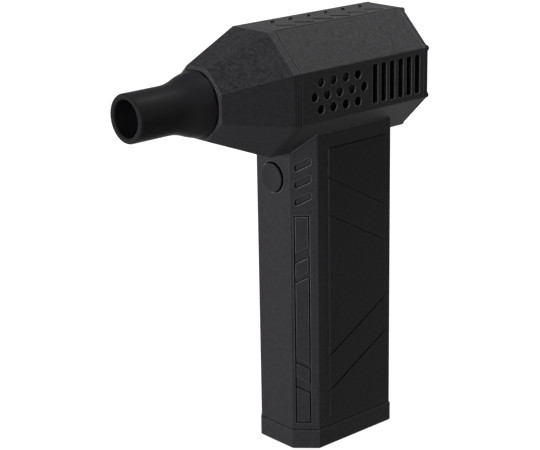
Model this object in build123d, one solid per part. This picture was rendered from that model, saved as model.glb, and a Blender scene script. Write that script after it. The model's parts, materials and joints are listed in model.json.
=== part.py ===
from build123d import *
import math
import os

# A small cordless blower: an octagonal fan barrel with a round nozzle, on an upright battery grip.
# Millimetres. X is across, the nozzle points to -Y and Z is up.
# The origin is the middle of the grip's underside, on the ground.

# Battery cells, which set the size of the grip
cell_radius = 9.25
cell_length = 65.0
cell_gap = 0.4
cell_button_radius = 2.75
cell_button_height = 0.8
cell_room_across = 4.5
cell_room_along = 1.9
strap_thickness = 0.3
strap_width = 8.0
frame_plate = 1.6
frame_pocket_depth = 6.4
frame_clearance = 0.25
pocket_clearance = 0.15

# Grip
grip_wall = 2.6
grip_front_chamfer = 7.4
grip_rear_radius = 0.8
grip_edge_radius = 0.6
grip_deck = 2.4
board_bay_height = 32.8
boss_radius = 2.4
neck_boss_depth = 7.6
neck_screw_across = 6.5
neck_screw_along = 15.0

# Base cap under the grip
base_height = 8.0
base_proud = 0.3
base_floor = 1.8
base_groove = 0.4
base_bottom_bevel = 0.5
base_screw_recess = 0.6
base_lip_height = 3.0
base_lip_wall = 1.4
base_boss_height = 7.0
base_boss_wall_gap = 2.3
base_tower_radius = 2.9

# Side panels let into the grip
panel_thickness = 1.6
panel_proud = 0.4
panel_bevel = 0.3
panel_gap = 0.12
panel_front_margin = 5.5
panel_rear_margin = 3.2
panel_bottom_margin = 3.2
panel_top_margin = 0.6
panel_groove_width = 1.0
panel_groove_depth = 0.5
panel_groove_slope = 0.56
panel_groove_pitch = 14.5
panel_upper_groove_drop = 11.0
panel_lower_groove_rise = 11.5
panel_peg_radius = 1.25
panel_peg_inset = 5.0

# Trim cut into the two front chamfers of the grip
slash_count = 3
slash_width = 6.4
slash_height = 2.8
slash_corner_radius = 0.8
slash_pitch = 6.6
slash_depth = 0.8
slash_slope = 0.5
slash_offset = -0.25
slash_top_drop = 4.6
strip_width = 6.0
strip_offset = -0.85
strip_top_drop = 24.2
strip_bottom_rise = 2.8
strip_groove = 0.55
strip_depth = 0.6
strip_narrow_gap = 2.1
strip_wide_gap = 4.2
strip_narrow_gap_place = 17.8
strip_wide_gap_place = 26.7

# Power button and its switch
button_radius = 5.6
button_hole_gap = 0.4
button_proud = 1.2
button_travel = 1.0
button_drop = 11.1
button_flange_overlap = 1.0
button_flange = 1.2
button_stem_radius = 2.2
button_stem = 2.4
button_edge_radius = 0.4
button_dish_depth = 0.3
switch_size = 6.0
switch_thickness = 3.5
plunger_radius = 1.7
plunger_spare = 0.3
plunger_guide = 1.0

# Fan duct and barrel, sized from the fan outwards
fan_bore_radius = 17.5
duct_wall = 1.5
damper_thickness = 1.6
damper_gap = 0.2
damper_width = 4.0
barrel_wall = 2.2
barrel_edge_radius = 0.8
front_overhang = 6.3
rear_overhang = 10.9
plenum_length = 29.7
stop_ring_width = 1.8
stop_ring_lip = 0.9
gasket_thickness = 1.0
flange_thickness = 2.0
flange_gap = 0.4
collar_width = 2.0
collar_gap = 0.4
duct_mouth_bevel = 0.9

# Vents, in both sides of the barrel
vent_radius = 1.8
vent_pitch = 6.24
vent_row_pitch = 4.98
vent_middle_count = 5
vent_setback = 18.9
slot_count = 6
slot_width = 2.8
slot_height = 14.9
slot_corner_radius = 0.8
slot_pitch = 4.5
slot_rear_margin = 3.85
vent_wall = 1.2
vent_relief_rim = 0.8

# Slanted grooves along the top of the barrel
chevron_count = 6
chevron_length = 8.1
chevron_width = 1.6
chevron_depth = 0.5
chevron_pitch = 9.05
chevron_setback = 10.6
chevron_off_centre = 3.85
chevron_angle = 46.0

# Covers that plug into both ends of the barrel
tongue_length = 3.0
tongue_wall = 1.4
snap_height = 0.25
snap_width = 1.0
front_seam_bevel = 0.3
rear_seam_bevel = 0.15
rear_cover_thickness = 2.1
rear_cover_bevel = 0.3
stud_radius = 1.15
stud_height = 0.7
stud_edge_radius = 0.4
grille_radius = 16.6
grille_hub_radius = 3.6
grille_ring_count = 4
grille_ring_wall = 1.5
grille_spoke_count = 6
grille_spoke_width = 1.6
filter_thickness = 1.5

# Front cone
cone_band = 3.4
cone_length = 25.8
cone_wall = 2.4
cone_tip_edge_radius = 0.5
cone_lip_bevel = 0.45
socket_depth = 6.5
socket_wall = 3.2

# Nozzle
nozzle_length = 31.5
nozzle_radius = 8.85
nozzle_bore_radius = 6.75
nozzle_rim_radius = 0.85
nozzle_flare_length = 15.0
nozzle_throat_radius = 20.0
nozzle_throat_turn = 22.0
nozzle_base_step = 0.8
nozzle_base_land = 0.8
spigot_bore_radius = 8.0
spigot_wall = 1.6
spigot_length = 6.0
seal_section_radius = 0.4
seal_groove_width = 1.1
seal_groove_floor = 0.8
nozzle_pull = 30.0

# Impeller
blade_count = 9
blade_thickness = 1.1
blade_tip_gap = 0.4
blade_root_stagger = 28.0
blade_tip_stagger = 58.0
blade_root_chord = 8.6
blade_tip_chord = 12.0
blade_camber = 0.9
impeller_length = 8.2
impeller_setback = 0.6
impeller_hub_radius = 8.2
impeller_nose_radius = 4.2
nut_across = 5.5
nut_height = 3.0
nut_crown = 1.2

# Guide vanes and hub behind the impeller
hub_gap = 1.1
hub_wall = 1.6
hub_end_wall = 2.0
vane_count = 7
vane_thickness = 1.2
vane_length = 12.0
vane_camber = 1.6
tail_length = 9.0
tail_radius = 2.6
tail_spigot = 1.5

# Motor
motor_radius = 8.0
motor_wall = 0.8
motor_length = 17.0
motor_end = 2.5
shaft_radius = 1.5
bearing_radius = 3.0
bearing_width = 2.5
core_length = 9.0
core_back = 1.3
tooth_count = 6
tooth_width = 1.6
tooth_tip_width = 2.8
tooth_tip = 0.4
magnet_radius = 3.2
air_gap = 0.4
coil_thickness = 0.9

# Boards, leads and screws
board_thickness = 1.6
board_rail = 1.0
board_rail_depth = 1.5
board_clearance = 0.15
board_head_room = 3.5
driver_board_y = 6.8
charge_board_width = 14.0
charge_board_length = 22.0
charge_board_thickness = 1.2
charge_board_z = 3.6
post_radius = 1.5
usb_width = 8.94
usb_height = 3.26
usb_depth = 7.3
usb_shell = 0.35
usb_tongue_width = 6.7
usb_tongue_thickness = 0.7
usb_inset = 0.3
transistor_size = 5.0
transistor_thickness = 1.2
transistor_rise = 5.0
transistor_row_pitch = 9.0
transistor_column_pitch = 7.4
capacitor_radius = 3.15
capacitor_length = 11.0
lead_radius = 0.75
lead_pitch = 2.2
lead_bend = 5.0
lead_window_across = 10.0
lead_window_along = 4.0
screw_radius = 1.25
screw_head_radius = 2.2
screw_head_height = 1.6
neck_screw_length = 9.0
motor_screw_radius = 1.0
motor_screw_head_radius = 1.9
motor_screw_head_height = 1.1
motor_screw_place = 5.2

# Clearances
push_clearance = 0.1
running_clearance = 0.03
seat_clearance = 0.02

# Places worked out from the sizes above
grip_width = 2 * (cell_radius + cell_room_across + grip_wall)
grip_depth = 4 * cell_radius + cell_gap + 2 * (cell_room_along + grip_wall)
cell_y = cell_radius + cell_gap / 2
base_boss_top = base_height + base_boss_height
cell_bottom = base_boss_top + frame_plate + strap_thickness
cell_top = cell_bottom + cell_length
bay_bottom = cell_top + strap_thickness + frame_plate
grip_height = bay_bottom + board_bay_height + grip_deck
inner_half_width = grip_width / 2 - grip_wall
inner_half_depth = grip_depth / 2 - grip_wall
front_wall_y = -grip_depth / 2

duct_radius = fan_bore_radius + duct_wall
barrel_bore = duct_radius + damper_thickness + damper_gap
barrel_half = barrel_bore + barrel_wall
barrel_axis_z = grip_height + barrel_half
barrel_front_y = front_wall_y - front_overhang
barrel_rear_y = grip_depth / 2 + rear_overhang
stop_front_y = barrel_rear_y - plenum_length
duct_rear_y = stop_front_y - gasket_thickness
duct_front_y = barrel_front_y + tongue_length / 2
damper_front_y = barrel_front_y + tongue_length
collar_front_y = damper_front_y + damper_width
tongue_half = barrel_bore - push_clearance
tongue_inner_half = tongue_half - tongue_wall

spigot_radius = spigot_bore_radius + spigot_wall
socket_radius = spigot_radius + push_clearance
cone_tip_half = socket_radius + socket_wall
cone_rear_y = barrel_front_y - cone_band
cone_tip_y = cone_rear_y - cone_length
socket_rear_y = cone_tip_y + socket_depth
nozzle_base_radius = cone_tip_half - nozzle_base_step
nozzle_base_y = cone_tip_y - push_clearance
nozzle_tip_y = nozzle_base_y - nozzle_length

impeller_rear_y = duct_rear_y - impeller_setback
impeller_front_y = impeller_rear_y - impeller_length
hub_rear_y = impeller_front_y - hub_gap
motor_rear_y = hub_rear_y - hub_end_wall
motor_front_y = motor_rear_y - motor_length
hub_bore = motor_radius + push_clearance
hub_radius = hub_bore + hub_wall
hub_front_y = motor_front_y - tail_spigot
core_middle_y = (motor_rear_y + motor_front_y) / 2
can_bore = motor_radius - motor_wall

button_z = grip_height - button_drop
button_flange_y = front_wall_y + grip_wall + board_clearance
stem_end_y = button_flange_y + button_flange + button_stem
switch_front_y = stem_end_y + button_travel + plunger_spare
switch_board_y = switch_front_y + switch_thickness
board_half_width = inner_half_width - board_clearance
board_bottom = bay_bottom + board_clearance
board_top = grip_height - grip_deck - board_head_room
driver_front_y = driver_board_y - board_thickness / 2
driver_rear_y = driver_board_y + board_thickness / 2
lead_y = motor_rear_y - lead_window_along / 2
lead_bay_y = (switch_board_y + board_thickness + driver_front_y) / 2
side_lead_x = inner_half_width - board_rail_depth - lead_radius - board_clearance
usb_z = charge_board_z + charge_board_thickness / 2
usb_mouth_y = grip_depth / 2 + base_proud - usb_inset
charge_board_rear_y = inner_half_depth - base_lip_wall - 2 * push_clearance
charge_board_front_y = charge_board_rear_y - charge_board_length

barrel_axis = Axis((0, 0, barrel_axis_z), (0, 1, 0))


def ring_plane(y):
    """Plane across the barrel: its x is X, its y is Z, and it faces the nozzle."""
    return Plane(origin=(0, y, barrel_axis_z), x_dir=(1, 0, 0), z_dir=(0, -1, 0))


def along_y(section, rear_y, front_y):
    """A section of the barrel carried from rear_y forward to front_y."""
    return extrude(ring_plane(rear_y) * section, amount=rear_y - front_y)


def octagon(half, corner_radius=0.0):
    """Regular octagon with a flat on top, half being half its size across flats."""
    face = RegularPolygon(half, 8, major_radius=False, rotation=22.5)
    if corner_radius > 0:
        face = fillet(face.vertices(), corner_radius)
    return face


def tube_y(outer_radius, inner_radius, rear_y, front_y):
    """Round tube on the barrel's axis."""
    return along_y(Circle(outer_radius) - Circle(inner_radius), rear_y, front_y)


def turned(outline):
    """Ring turned about the barrel's axis from an outline drawn as (y, radius)."""
    half_plane = Plane(origin=(0, 0, barrel_axis_z), x_dir=(0, 1, 0), z_dir=(1, 0, 0))
    return revolve(half_plane * outline, axis=barrel_axis)


def around_barrel(piece, count, start=0.0):
    """Copies of a piece, evenly spaced about the barrel's axis."""
    return [piece.rotate(barrel_axis, start + 360 * i / count) for i in range(count)]


def grip_outline(grow=0.0, edge_radius=0.0):
    """The grip's section: a rectangle with large front chamfers, its edges rounded if asked."""
    face = Rectangle(grip_width, grip_depth)
    face = chamfer(face.vertices().group_by(Axis.Y)[0], grip_front_chamfer)
    if grow != 0:
        face = offset(face, amount=grow, kind=Kind.INTERSECTION)
    if edge_radius > 0:
        face = fillet(face.vertices().filter_by_position(Axis.Y, -grip_depth, 0), edge_radius)
        face = fillet(face.vertices().group_by(Axis.Y)[-1], grip_rear_radius)
    return face


def upright(section, bottom, top):
    """A level section carried straight up."""
    return extrude(Pos(0, 0, bottom) * section, amount=top - bottom)


def peg(x, y, radius, bottom, top):
    """Upright round bar."""
    return upright(Pos(x, y) * Circle(radius), bottom, top)


def block(x_range, y_range, z_range):
    """Rectangular block between two corners."""
    size = [high - low for low, high in (x_range, y_range, z_range)]
    middle = [(high + low) / 2 for low, high in (x_range, y_range, z_range)]
    return Pos(*middle) * Box(*size)


def bar_along(plane, section, depth):
    """A section carried from a plane against its normal, for cuts into a wall."""
    return extrude(plane * section, amount=-depth)


def both_sides(piece):
    """The piece and its mirror image across the middle of the part."""
    return [piece, mirror(piece, about=Plane.YZ)]


def slanted(left, right, middle_z, height, slope):
    """Parallelogram with upright ends, whose long edges rise by slope from left to right."""
    half = height / 2
    corners = [
        (left, middle_z + slope * left - half),
        (right, middle_z + slope * right - half),
        (right, middle_z + slope * right + half),
        (left, middle_z + slope * left + half),
    ]
    return make_face(Polyline(*corners, close=True))


# Barrel and its covers


def vent_places():
    """Middles of the round vents, as (y, z)."""
    places = []
    for row in (-1, 0, 1):
        count = vent_middle_count - abs(row)
        for i in range(count):
            y = barrel_front_y + vent_setback + (i - (count - 1) / 2) * vent_pitch
            places.append((y, barrel_axis_z + row * vent_row_pitch))
    return places


def vent_cut():
    """Staggered round holes and upright slots, through both sides of the barrel."""
    shapes = [Pos(*place) * Circle(vent_radius) for place in vent_places()]
    slot = RectangleRounded(slot_width, slot_height, slot_corner_radius)
    for i in range(slot_count):
        y = barrel_rear_y - slot_rear_margin - i * slot_pitch
        shapes.append(Pos(y, barrel_axis_z) * slot)
    return extrude(Plane.YZ * (Sketch() + shapes), amount=barrel_half, both=True)


def vent_relief():
    """Thins the barrel's wall from inside, round each vent and behind all the slots."""
    shapes = [Pos(*place) * Circle(vent_radius + vent_relief_rim) for place in vent_places()]
    pocket_rear_y = barrel_rear_y - tongue_length
    pocket_front_y = stop_front_y + stop_ring_width
    pocket = Rectangle(pocket_rear_y - pocket_front_y, slot_height + 2 * vent_relief_rim)
    shapes.append(Pos((pocket_rear_y + pocket_front_y) / 2, barrel_axis_z) * pocket)
    relief = extrude(Plane.YZ * (Sketch() + shapes), amount=barrel_half - vent_wall, both=True)
    return relief - along_y(octagon(barrel_bore), barrel_rear_y, barrel_front_y)


def chevron_cut():
    """Pairs of slanted grooves on top of the barrel, meeting towards the nozzle."""
    shapes = []
    for i in range(chevron_count):
        y = barrel_front_y + chevron_setback + i * chevron_pitch
        for side in (-1, 1):
            groove = SlotOverall(chevron_length, chevron_width, rotation=side * chevron_angle)
            shapes.append(Pos(side * chevron_off_centre, y) * groove)
    top = Plane(origin=(0, 0, barrel_axis_z + barrel_half))
    return bar_along(top, Sketch() + shapes, chevron_depth)


def tongue(seam_y, direction):
    """Ring with a snap bead that plugs a cover into the barrel; direction is its way in along Y."""
    ends = sorted((seam_y, seam_y + direction * tongue_length))
    bead_y = seam_y + direction * tongue_length / 2
    ring = octagon(tongue_half) - octagon(tongue_inner_half)
    bead = octagon(tongue_half + snap_height) - octagon(tongue_inner_half)
    return along_y(ring, ends[1], ends[0]) + along_y(
        bead, bead_y + snap_width / 2, bead_y - snap_width / 2
    )


def snap_groove(seam_y, direction):
    """Groove in the barrel for a cover's snap bead."""
    bead_y = seam_y + direction * tongue_length / 2
    reach = snap_width / 2 + push_clearance
    return along_y(octagon(barrel_bore + snap_height), bead_y + reach, bead_y - reach)


def floor_openings(top, bottom, screw_hole_radius):
    """Window for the motor leads and four screw holes, where barrel and grip meet."""
    window = Pos(0, lead_y) * Rectangle(lead_window_across, lead_window_along)
    holes = [
        Pos(x * neck_screw_across, y * neck_screw_along) * Circle(screw_hole_radius)
        for x in (-1, 1)
        for y in (-1, 1)
    ]
    return upright(window + holes, bottom, top)


def barrel_shell():
    shell = along_y(octagon(barrel_half, barrel_edge_radius), barrel_rear_y, barrel_front_y)
    shell = chamfer(shell.faces().sort_by(Axis.Y)[0].edges(), front_seam_bevel)
    shell -= along_y(octagon(barrel_bore), barrel_rear_y, barrel_front_y)
    stop_ring = octagon(barrel_bore) - Circle(fan_bore_radius + stop_ring_lip)
    shell += along_y(stop_ring, stop_front_y + stop_ring_width, stop_front_y)
    shell -= snap_groove(barrel_front_y, 1)
    shell -= snap_groove(barrel_rear_y, -1)
    shell -= vent_cut()
    shell -= vent_relief()
    shell -= chevron_cut()
    hole_radius = screw_radius + push_clearance
    shell -= floor_openings(grip_height + barrel_wall, grip_height, hole_radius)
    return shell


def front_cone():
    """Faceted cone: a short octagonal band, a taper to a small octagon, and the nozzle's socket."""
    band = octagon(barrel_half, barrel_edge_radius)
    small = octagon(cone_tip_half, cone_tip_edge_radius)
    cone = loft([ring_plane(cone_rear_y) * band, ring_plane(cone_tip_y) * small], ruled=True)
    lip = cone.faces().sort_by(Axis.Y)[0].edges()
    cone = chamfer(lip, cone_lip_bevel)
    root = along_y(band, barrel_front_y, cone_rear_y)
    cone += chamfer(root.faces().sort_by(Axis.Y)[-1].edges(), front_seam_bevel)
    cone += tongue(barrel_front_y, 1)
    cone -= along_y(octagon(tongue_inner_half), damper_front_y, cone_rear_y)
    taper = (barrel_half - cone_tip_half) / cone_length
    inner_half = cone_tip_half + taper * socket_depth - cone_wall
    wide = ring_plane(cone_rear_y) * octagon(tongue_inner_half)
    narrow = ring_plane(socket_rear_y) * octagon(inner_half)
    cone -= loft([wide, narrow], ruled=True)
    cone -= along_y(Circle(socket_radius), socket_rear_y, cone_tip_y)
    return cone


def rear_cover():
    """Cap over the back of the barrel: an intake grille, and a rounded stud at each corner."""
    plate_rear_y = barrel_rear_y + rear_cover_thickness
    cover = along_y(octagon(barrel_half, barrel_edge_radius), plate_rear_y, barrel_rear_y)
    cover = chamfer(cover.faces().sort_by(Axis.Y)[-1].edges(), rear_cover_bevel)
    cover = chamfer(cover.faces().sort_by(Axis.Y)[0].edges(), rear_seam_bevel)
    stud = along_y(
        Circle(stud_radius), plate_rear_y + stud_height, plate_rear_y - rear_cover_bevel
    )
    stud = fillet(stud.faces().sort_by(Axis.Y)[-1].edges(), stud_edge_radius)
    for corner in octagon(barrel_half - stud_radius).vertices():
        cover += Pos(corner.X, 0, corner.Y) * stud
    ring_pitch = (grille_radius - grille_hub_radius) / grille_ring_count
    gaps = Sketch()
    for i in range(grille_ring_count):
        inner = grille_hub_radius + i * ring_pitch
        gaps += Circle(inner + ring_pitch - grille_ring_wall) - Circle(inner)
    for i in range(grille_spoke_count):
        spoke = Pos(grille_radius / 2, 0) * Rectangle(grille_radius, grille_spoke_width)
        gaps -= Rot(0, 0, 360 * i / grille_spoke_count) * spoke
    cover -= along_y(gaps, plate_rear_y, barrel_rear_y)
    return cover + tongue(barrel_rear_y, -1)


def intake_filter():
    """Foam disc behind the intake grille."""
    radius = tongue_inner_half - frame_clearance
    return along_y(Circle(radius), barrel_rear_y, barrel_rear_y - filter_thickness)


# Nozzle


def nozzle():
    """Round jet nozzle: straight pipe, smooth flare, and a spigot with a seal groove."""
    flare_y = nozzle_base_y - nozzle_flare_length
    spigot_end_y = nozzle_base_y + spigot_length
    groove_y = nozzle_base_y + spigot_length / 2
    groove_radius = spigot_radius - seal_groove_floor
    pipe = Line((nozzle_tip_y, nozzle_radius), (flare_y, nozzle_radius))
    throat = JernArc((flare_y, nozzle_radius), (1, 0), nozzle_throat_radius, nozzle_throat_turn)
    land_y = nozzle_base_y - nozzle_base_land
    skirt = TangentArc(throat @ 1, (land_y, nozzle_base_radius), tangent=throat % 1)
    inside = Polyline(
        (land_y, nozzle_base_radius),
        (nozzle_base_y, nozzle_base_radius),
        (nozzle_base_y, spigot_radius),
        (groove_y - seal_groove_width / 2, spigot_radius),
        (groove_y - seal_groove_width / 2, groove_radius),
        (groove_y + seal_groove_width / 2, groove_radius),
        (groove_y + seal_groove_width / 2, spigot_radius),
        (spigot_end_y, spigot_radius),
        (spigot_end_y, spigot_bore_radius),
        (nozzle_base_y, spigot_bore_radius),
        (flare_y, nozzle_bore_radius),
        (nozzle_tip_y, nozzle_bore_radius),
        (nozzle_tip_y, nozzle_radius),
    )
    outline = make_face([pipe, throat, skirt, inside])
    rim = outline.vertices().group_by(Axis.X)[0]
    return turned(fillet(rim, nozzle_rim_radius))


def nozzle_seal():
    """Rubber ring in the spigot's groove."""
    centre = spigot_radius + push_clearance / 2 - seal_section_radius
    section = Pos(nozzle_base_y + spigot_length / 2, centre) * Circle(seal_section_radius)
    return turned(section)


# Fan


def vane():
    """Curved guide vane standing on the top of the hub."""
    half = vane_length / 2
    edge = vane_thickness / 2
    back = ThreePointArc((-half, edge), (0, vane_camber + edge), (half, edge))
    front = ThreePointArc((half, -edge), (0, vane_camber - edge), (-half, -edge))
    ends = [Line(back @ 1, front @ 0), Line(front @ 1, back @ 0)]
    middle_y = hub_front_y + half + tail_spigot
    foot = barrel_axis_z + hub_radius - hub_wall / 2
    plane = Plane(origin=(0, middle_y, foot), x_dir=(0, 1, 0), z_dir=(0, 0, 1))
    reach = fan_bore_radius + duct_wall / 2 - (foot - barrel_axis_z)
    return extrude(plane * make_face([back, front] + ends), amount=reach)


def fan_duct():
    """Duct with its mounting flange and collar, the motor's hub and the vanes that carry it."""
    duct = tube_y(duct_radius, fan_bore_radius, duct_rear_y, duct_front_y)
    flange_radius = barrel_bore - flange_gap
    duct += tube_y(flange_radius, fan_bore_radius, duct_rear_y, duct_rear_y - flange_thickness)
    collar_radius = barrel_bore - collar_gap
    duct += tube_y(collar_radius, fan_bore_radius, collar_front_y + collar_width, collar_front_y)
    mouth = duct.edges().filter_by(GeomType.CIRCLE).group_by(Axis.Y)[-1].sort_by(SortBy.RADIUS)[0]
    duct = chamfer(mouth, duct_mouth_bevel)
    hub = tube_y(hub_radius, hub_bore, motor_rear_y, hub_front_y)
    hub += tube_y(hub_radius, bearing_radius + push_clearance, hub_rear_y, motor_rear_y)
    duct += [hub] + around_barrel(vane(), vane_count)
    for side in (-1, 1):
        place = Pos(side * motor_screw_place, 0)
        duct -= along_y(
            place * Circle(motor_screw_radius + push_clearance), hub_rear_y, motor_rear_y
        )
        head = Circle(motor_screw_head_radius + push_clearance)
        duct -= along_y(place * head, hub_rear_y, hub_rear_y - motor_screw_head_height)
    lead_slot = Pos(0, lead_y) * Rectangle(lead_window_across, lead_window_along)
    slot_top = barrel_axis_z - math.sqrt(hub_bore**2 - (lead_window_across / 2) ** 2)
    duct -= upright(lead_slot, barrel_axis_z - duct_radius, slot_top)
    return duct


def duct_gasket():
    """Rubber ring between the duct's flange and the barrel's stop ring."""
    outer_radius = barrel_bore - flange_gap
    return tube_y(outer_radius, fan_bore_radius + stop_ring_lip, stop_front_y, duct_rear_y)


def front_damper():
    """Rubber ring that centres the front of the duct and is clamped by the front cone."""
    outer_radius = barrel_bore - push_clearance
    return tube_y(outer_radius, duct_radius + seat_clearance, collar_front_y, damper_front_y)


def tail_cone():
    """Fairing that closes the hub on the nozzle side."""
    start_y = hub_front_y
    nose = RadiusArc((start_y - tail_length, tail_radius), (start_y, hub_radius), -2 * hub_radius)
    plug_radius = hub_bore - push_clearance
    rest = Polyline(
        (start_y, hub_radius),
        (start_y, plug_radius),
        (start_y + tail_spigot, plug_radius),
        (start_y + tail_spigot, shaft_radius + air_gap),
        (start_y - tail_spigot, shaft_radius + air_gap),
        (start_y - tail_spigot, 0),
        (start_y - tail_length, 0),
        (start_y - tail_length, tail_radius),
    )
    return turned(make_face([nose, rest]))


def blade_section(radius, chord, stagger):
    """Cambered blade section on a plane square to the blade, at a radius above the axis."""
    half = chord / 2
    edge = blade_thickness / 2
    back = ThreePointArc((-half, edge), (0, blade_camber + edge), (half, edge))
    front = ThreePointArc((half, -edge), (0, blade_camber - edge), (-half, -edge))
    ends = [Line(back @ 1, front @ 0), Line(front @ 1, back @ 0)]
    middle_y = (impeller_rear_y + impeller_front_y) / 2
    plane = Plane(
        origin=(0, middle_y, barrel_axis_z + radius), x_dir=(0, 1, 0), z_dir=(0, 0, 1)
    )
    return plane * Rot(0, 0, stagger) * make_face([back, front] + ends)


def blade():
    """One twisted blade, trimmed to the swept drum of the impeller."""
    root_radius = impeller_nose_radius
    tip_radius = fan_bore_radius - blade_tip_gap
    sections = []
    for share in (0.0, 0.5, 1.0):
        radius = root_radius + share * (fan_bore_radius - root_radius)
        chord = blade_root_chord + share * (blade_tip_chord - blade_root_chord)
        stagger = blade_root_stagger + share * (blade_tip_stagger - blade_root_stagger)
        sections.append(blade_section(radius, chord, stagger))
    drum = along_y(Circle(tip_radius), impeller_rear_y, impeller_front_y)
    return loft(sections, ruled=True) & drum


def impeller():
    """Hub with a rounded nose and a ring of twisted blades, bored for the shaft."""
    nose = RadiusArc(
        (impeller_front_y, impeller_hub_radius),
        (impeller_rear_y, impeller_nose_radius),
        2 * impeller_hub_radius,
    )
    bore = shaft_radius + seat_clearance
    rest = Polyline(
        (impeller_rear_y, impeller_nose_radius),
        (impeller_rear_y, 0),
        (impeller_front_y, 0),
        (impeller_front_y, impeller_hub_radius),
    )
    wheel = turned(make_face([nose, rest])) + around_barrel(blade(), blade_count)
    return wheel - along_y(Circle(bore), impeller_rear_y, impeller_front_y)


def impeller_nut():
    """Crowned hexagon nut that holds the impeller on the shaft."""
    hexagon = RegularPolygon(nut_across / 2, 6, major_radius=False)
    nut_rear_y = impeller_rear_y + nut_height
    nut = along_y(hexagon, nut_rear_y, impeller_rear_y)
    crown = along_y(Circle(nut_across / 2), nut_rear_y + nut_crown, nut_rear_y)
    crown = fillet(crown.edges().group_by(Axis.Y)[-1], nut_crown * 0.9)
    bore = Circle(shaft_radius + seat_clearance)
    return nut + crown - along_y(bore, nut_rear_y, impeller_rear_y)


# Motor


def motor_shaft():
    rear_y = impeller_rear_y + nut_height - push_clearance
    return along_y(Circle(shaft_radius), rear_y, motor_front_y)


def bearing(rear_y):
    """Ball bearing, drawn as its closed outline."""
    inner = shaft_radius + running_clearance
    ring = tube_y(bearing_radius, inner, rear_y, rear_y - bearing_width)
    groove_radius = (bearing_radius + inner) / 2
    half_groove = (bearing_radius - inner) / 4
    groove = Circle(groove_radius + half_groove) - Circle(groove_radius - half_groove)
    depth = bearing_width / 10
    ring -= along_y(groove, rear_y, rear_y - depth)
    return ring - along_y(groove, rear_y - bearing_width + depth, rear_y - bearing_width)


def rear_bearing():
    return bearing(motor_rear_y)


def front_bearing():
    return bearing(motor_front_y + bearing_width)


def motor_can():
    """Steel can with the mounting wall towards the impeller."""
    bell_y = motor_front_y + motor_end / 2
    can = tube_y(motor_radius, can_bore, motor_rear_y, bell_y)
    wall_bore = bearing_radius + seat_clearance
    can += tube_y(can_bore, wall_bore, motor_rear_y, motor_rear_y - motor_end)
    for side in (-1, 1):
        hole = Pos(side * motor_screw_place, 0) * Circle(motor_screw_radius + seat_clearance)
        can -= along_y(hole, motor_rear_y, motor_rear_y - motor_end)
    return can


def motor_end_bell():
    """Cap of the motor on the nozzle side, with a spigot into the can."""
    wall_bore = bearing_radius + seat_clearance
    bell_y = motor_front_y + motor_end / 2
    bell = tube_y(motor_radius, wall_bore, bell_y, motor_front_y)
    spigot_outer = can_bore - seat_clearance
    return bell + tube_y(spigot_outer, wall_bore, motor_front_y + motor_end, bell_y)


def stator_core():
    """Laminated ring with inward teeth."""
    outer = can_bore - seat_clearance
    back_inner = outer - core_back
    tip_radius = magnet_radius + air_gap
    section = Circle(outer) - Circle(back_inner)
    root = (back_inner + outer) / 2
    for i in range(tooth_count):
        tooth = Pos((root + tip_radius) / 2, 0) * Rectangle(root - tip_radius, tooth_width)
        tip = Pos(tip_radius + tooth_tip / 2, 0) * Rectangle(tooth_tip * 2, tooth_tip_width)
        section += Rot(0, 0, 360 * i / tooth_count) * (tooth + tip)
    section -= Circle(tip_radius)
    half = core_length / 2
    return along_y(section, core_middle_y + half, core_middle_y - half)


def stator_windings():
    """One coil round each tooth."""
    inner = magnet_radius + air_gap + 2 * tooth_tip
    reach = tooth_width / 2 + push_clearance
    back_inner = can_bore - seat_clearance - core_back
    outer = math.sqrt(back_inner**2 - (reach + coil_thickness) ** 2) - push_clearance
    half = core_length / 2 + push_clearance
    wide = block(
        (inner, outer),
        (core_middle_y - half - coil_thickness, core_middle_y + half + coil_thickness),
        (-reach - coil_thickness, reach + coil_thickness),
    )
    hole = block((inner, outer), (core_middle_y - half, core_middle_y + half), (-reach, reach))
    wide = fillet(wide.edges().filter_by(Axis.X), coil_thickness * 0.8)
    coil = Pos(0, 0, barrel_axis_z) * (wide - hole)
    return Compound(children=around_barrel(coil, tooth_count))


def rotor_magnet():
    half = core_length / 2
    bore = shaft_radius + seat_clearance
    return tube_y(magnet_radius, bore, core_middle_y + half, core_middle_y - half)


def motor_screws():
    """Two screws through the hub's end wall into the motor."""
    head_rear_y = hub_rear_y - push_clearance
    head_front_y = hub_rear_y - motor_screw_head_height
    screw = along_y(Circle(motor_screw_head_radius), head_rear_y, head_front_y)
    screw += along_y(Circle(motor_screw_radius), head_front_y, motor_rear_y - motor_end)
    return Compound(children=[Pos(side * motor_screw_place, 0, 0) * screw for side in (-1, 1)])


# Grip


def chamfer_plane():
    """Plane on the +X front chamfer: its x runs back along the face, its y is up."""
    inset = grip_front_chamfer / 2
    return Plane(
        origin=(grip_width / 2 - inset, front_wall_y + inset, 0),
        x_dir=(1, 1, 0),
        z_dir=(1, -1, 0),
    )


def slash_cut():
    """Short slanted recesses, one above another, beside the button."""
    left = slash_offset - slash_width / 2
    right = slash_offset + slash_width / 2
    shapes = []
    for i in range(slash_count):
        middle_z = grip_height - slash_top_drop - i * slash_pitch
        slash = slanted(left, right, middle_z, slash_height, slash_slope)
        shapes.append(fillet(slash.vertices(), slash_corner_radius))
    return bar_along(chamfer_plane(), Sketch() + shapes, slash_depth)


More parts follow.
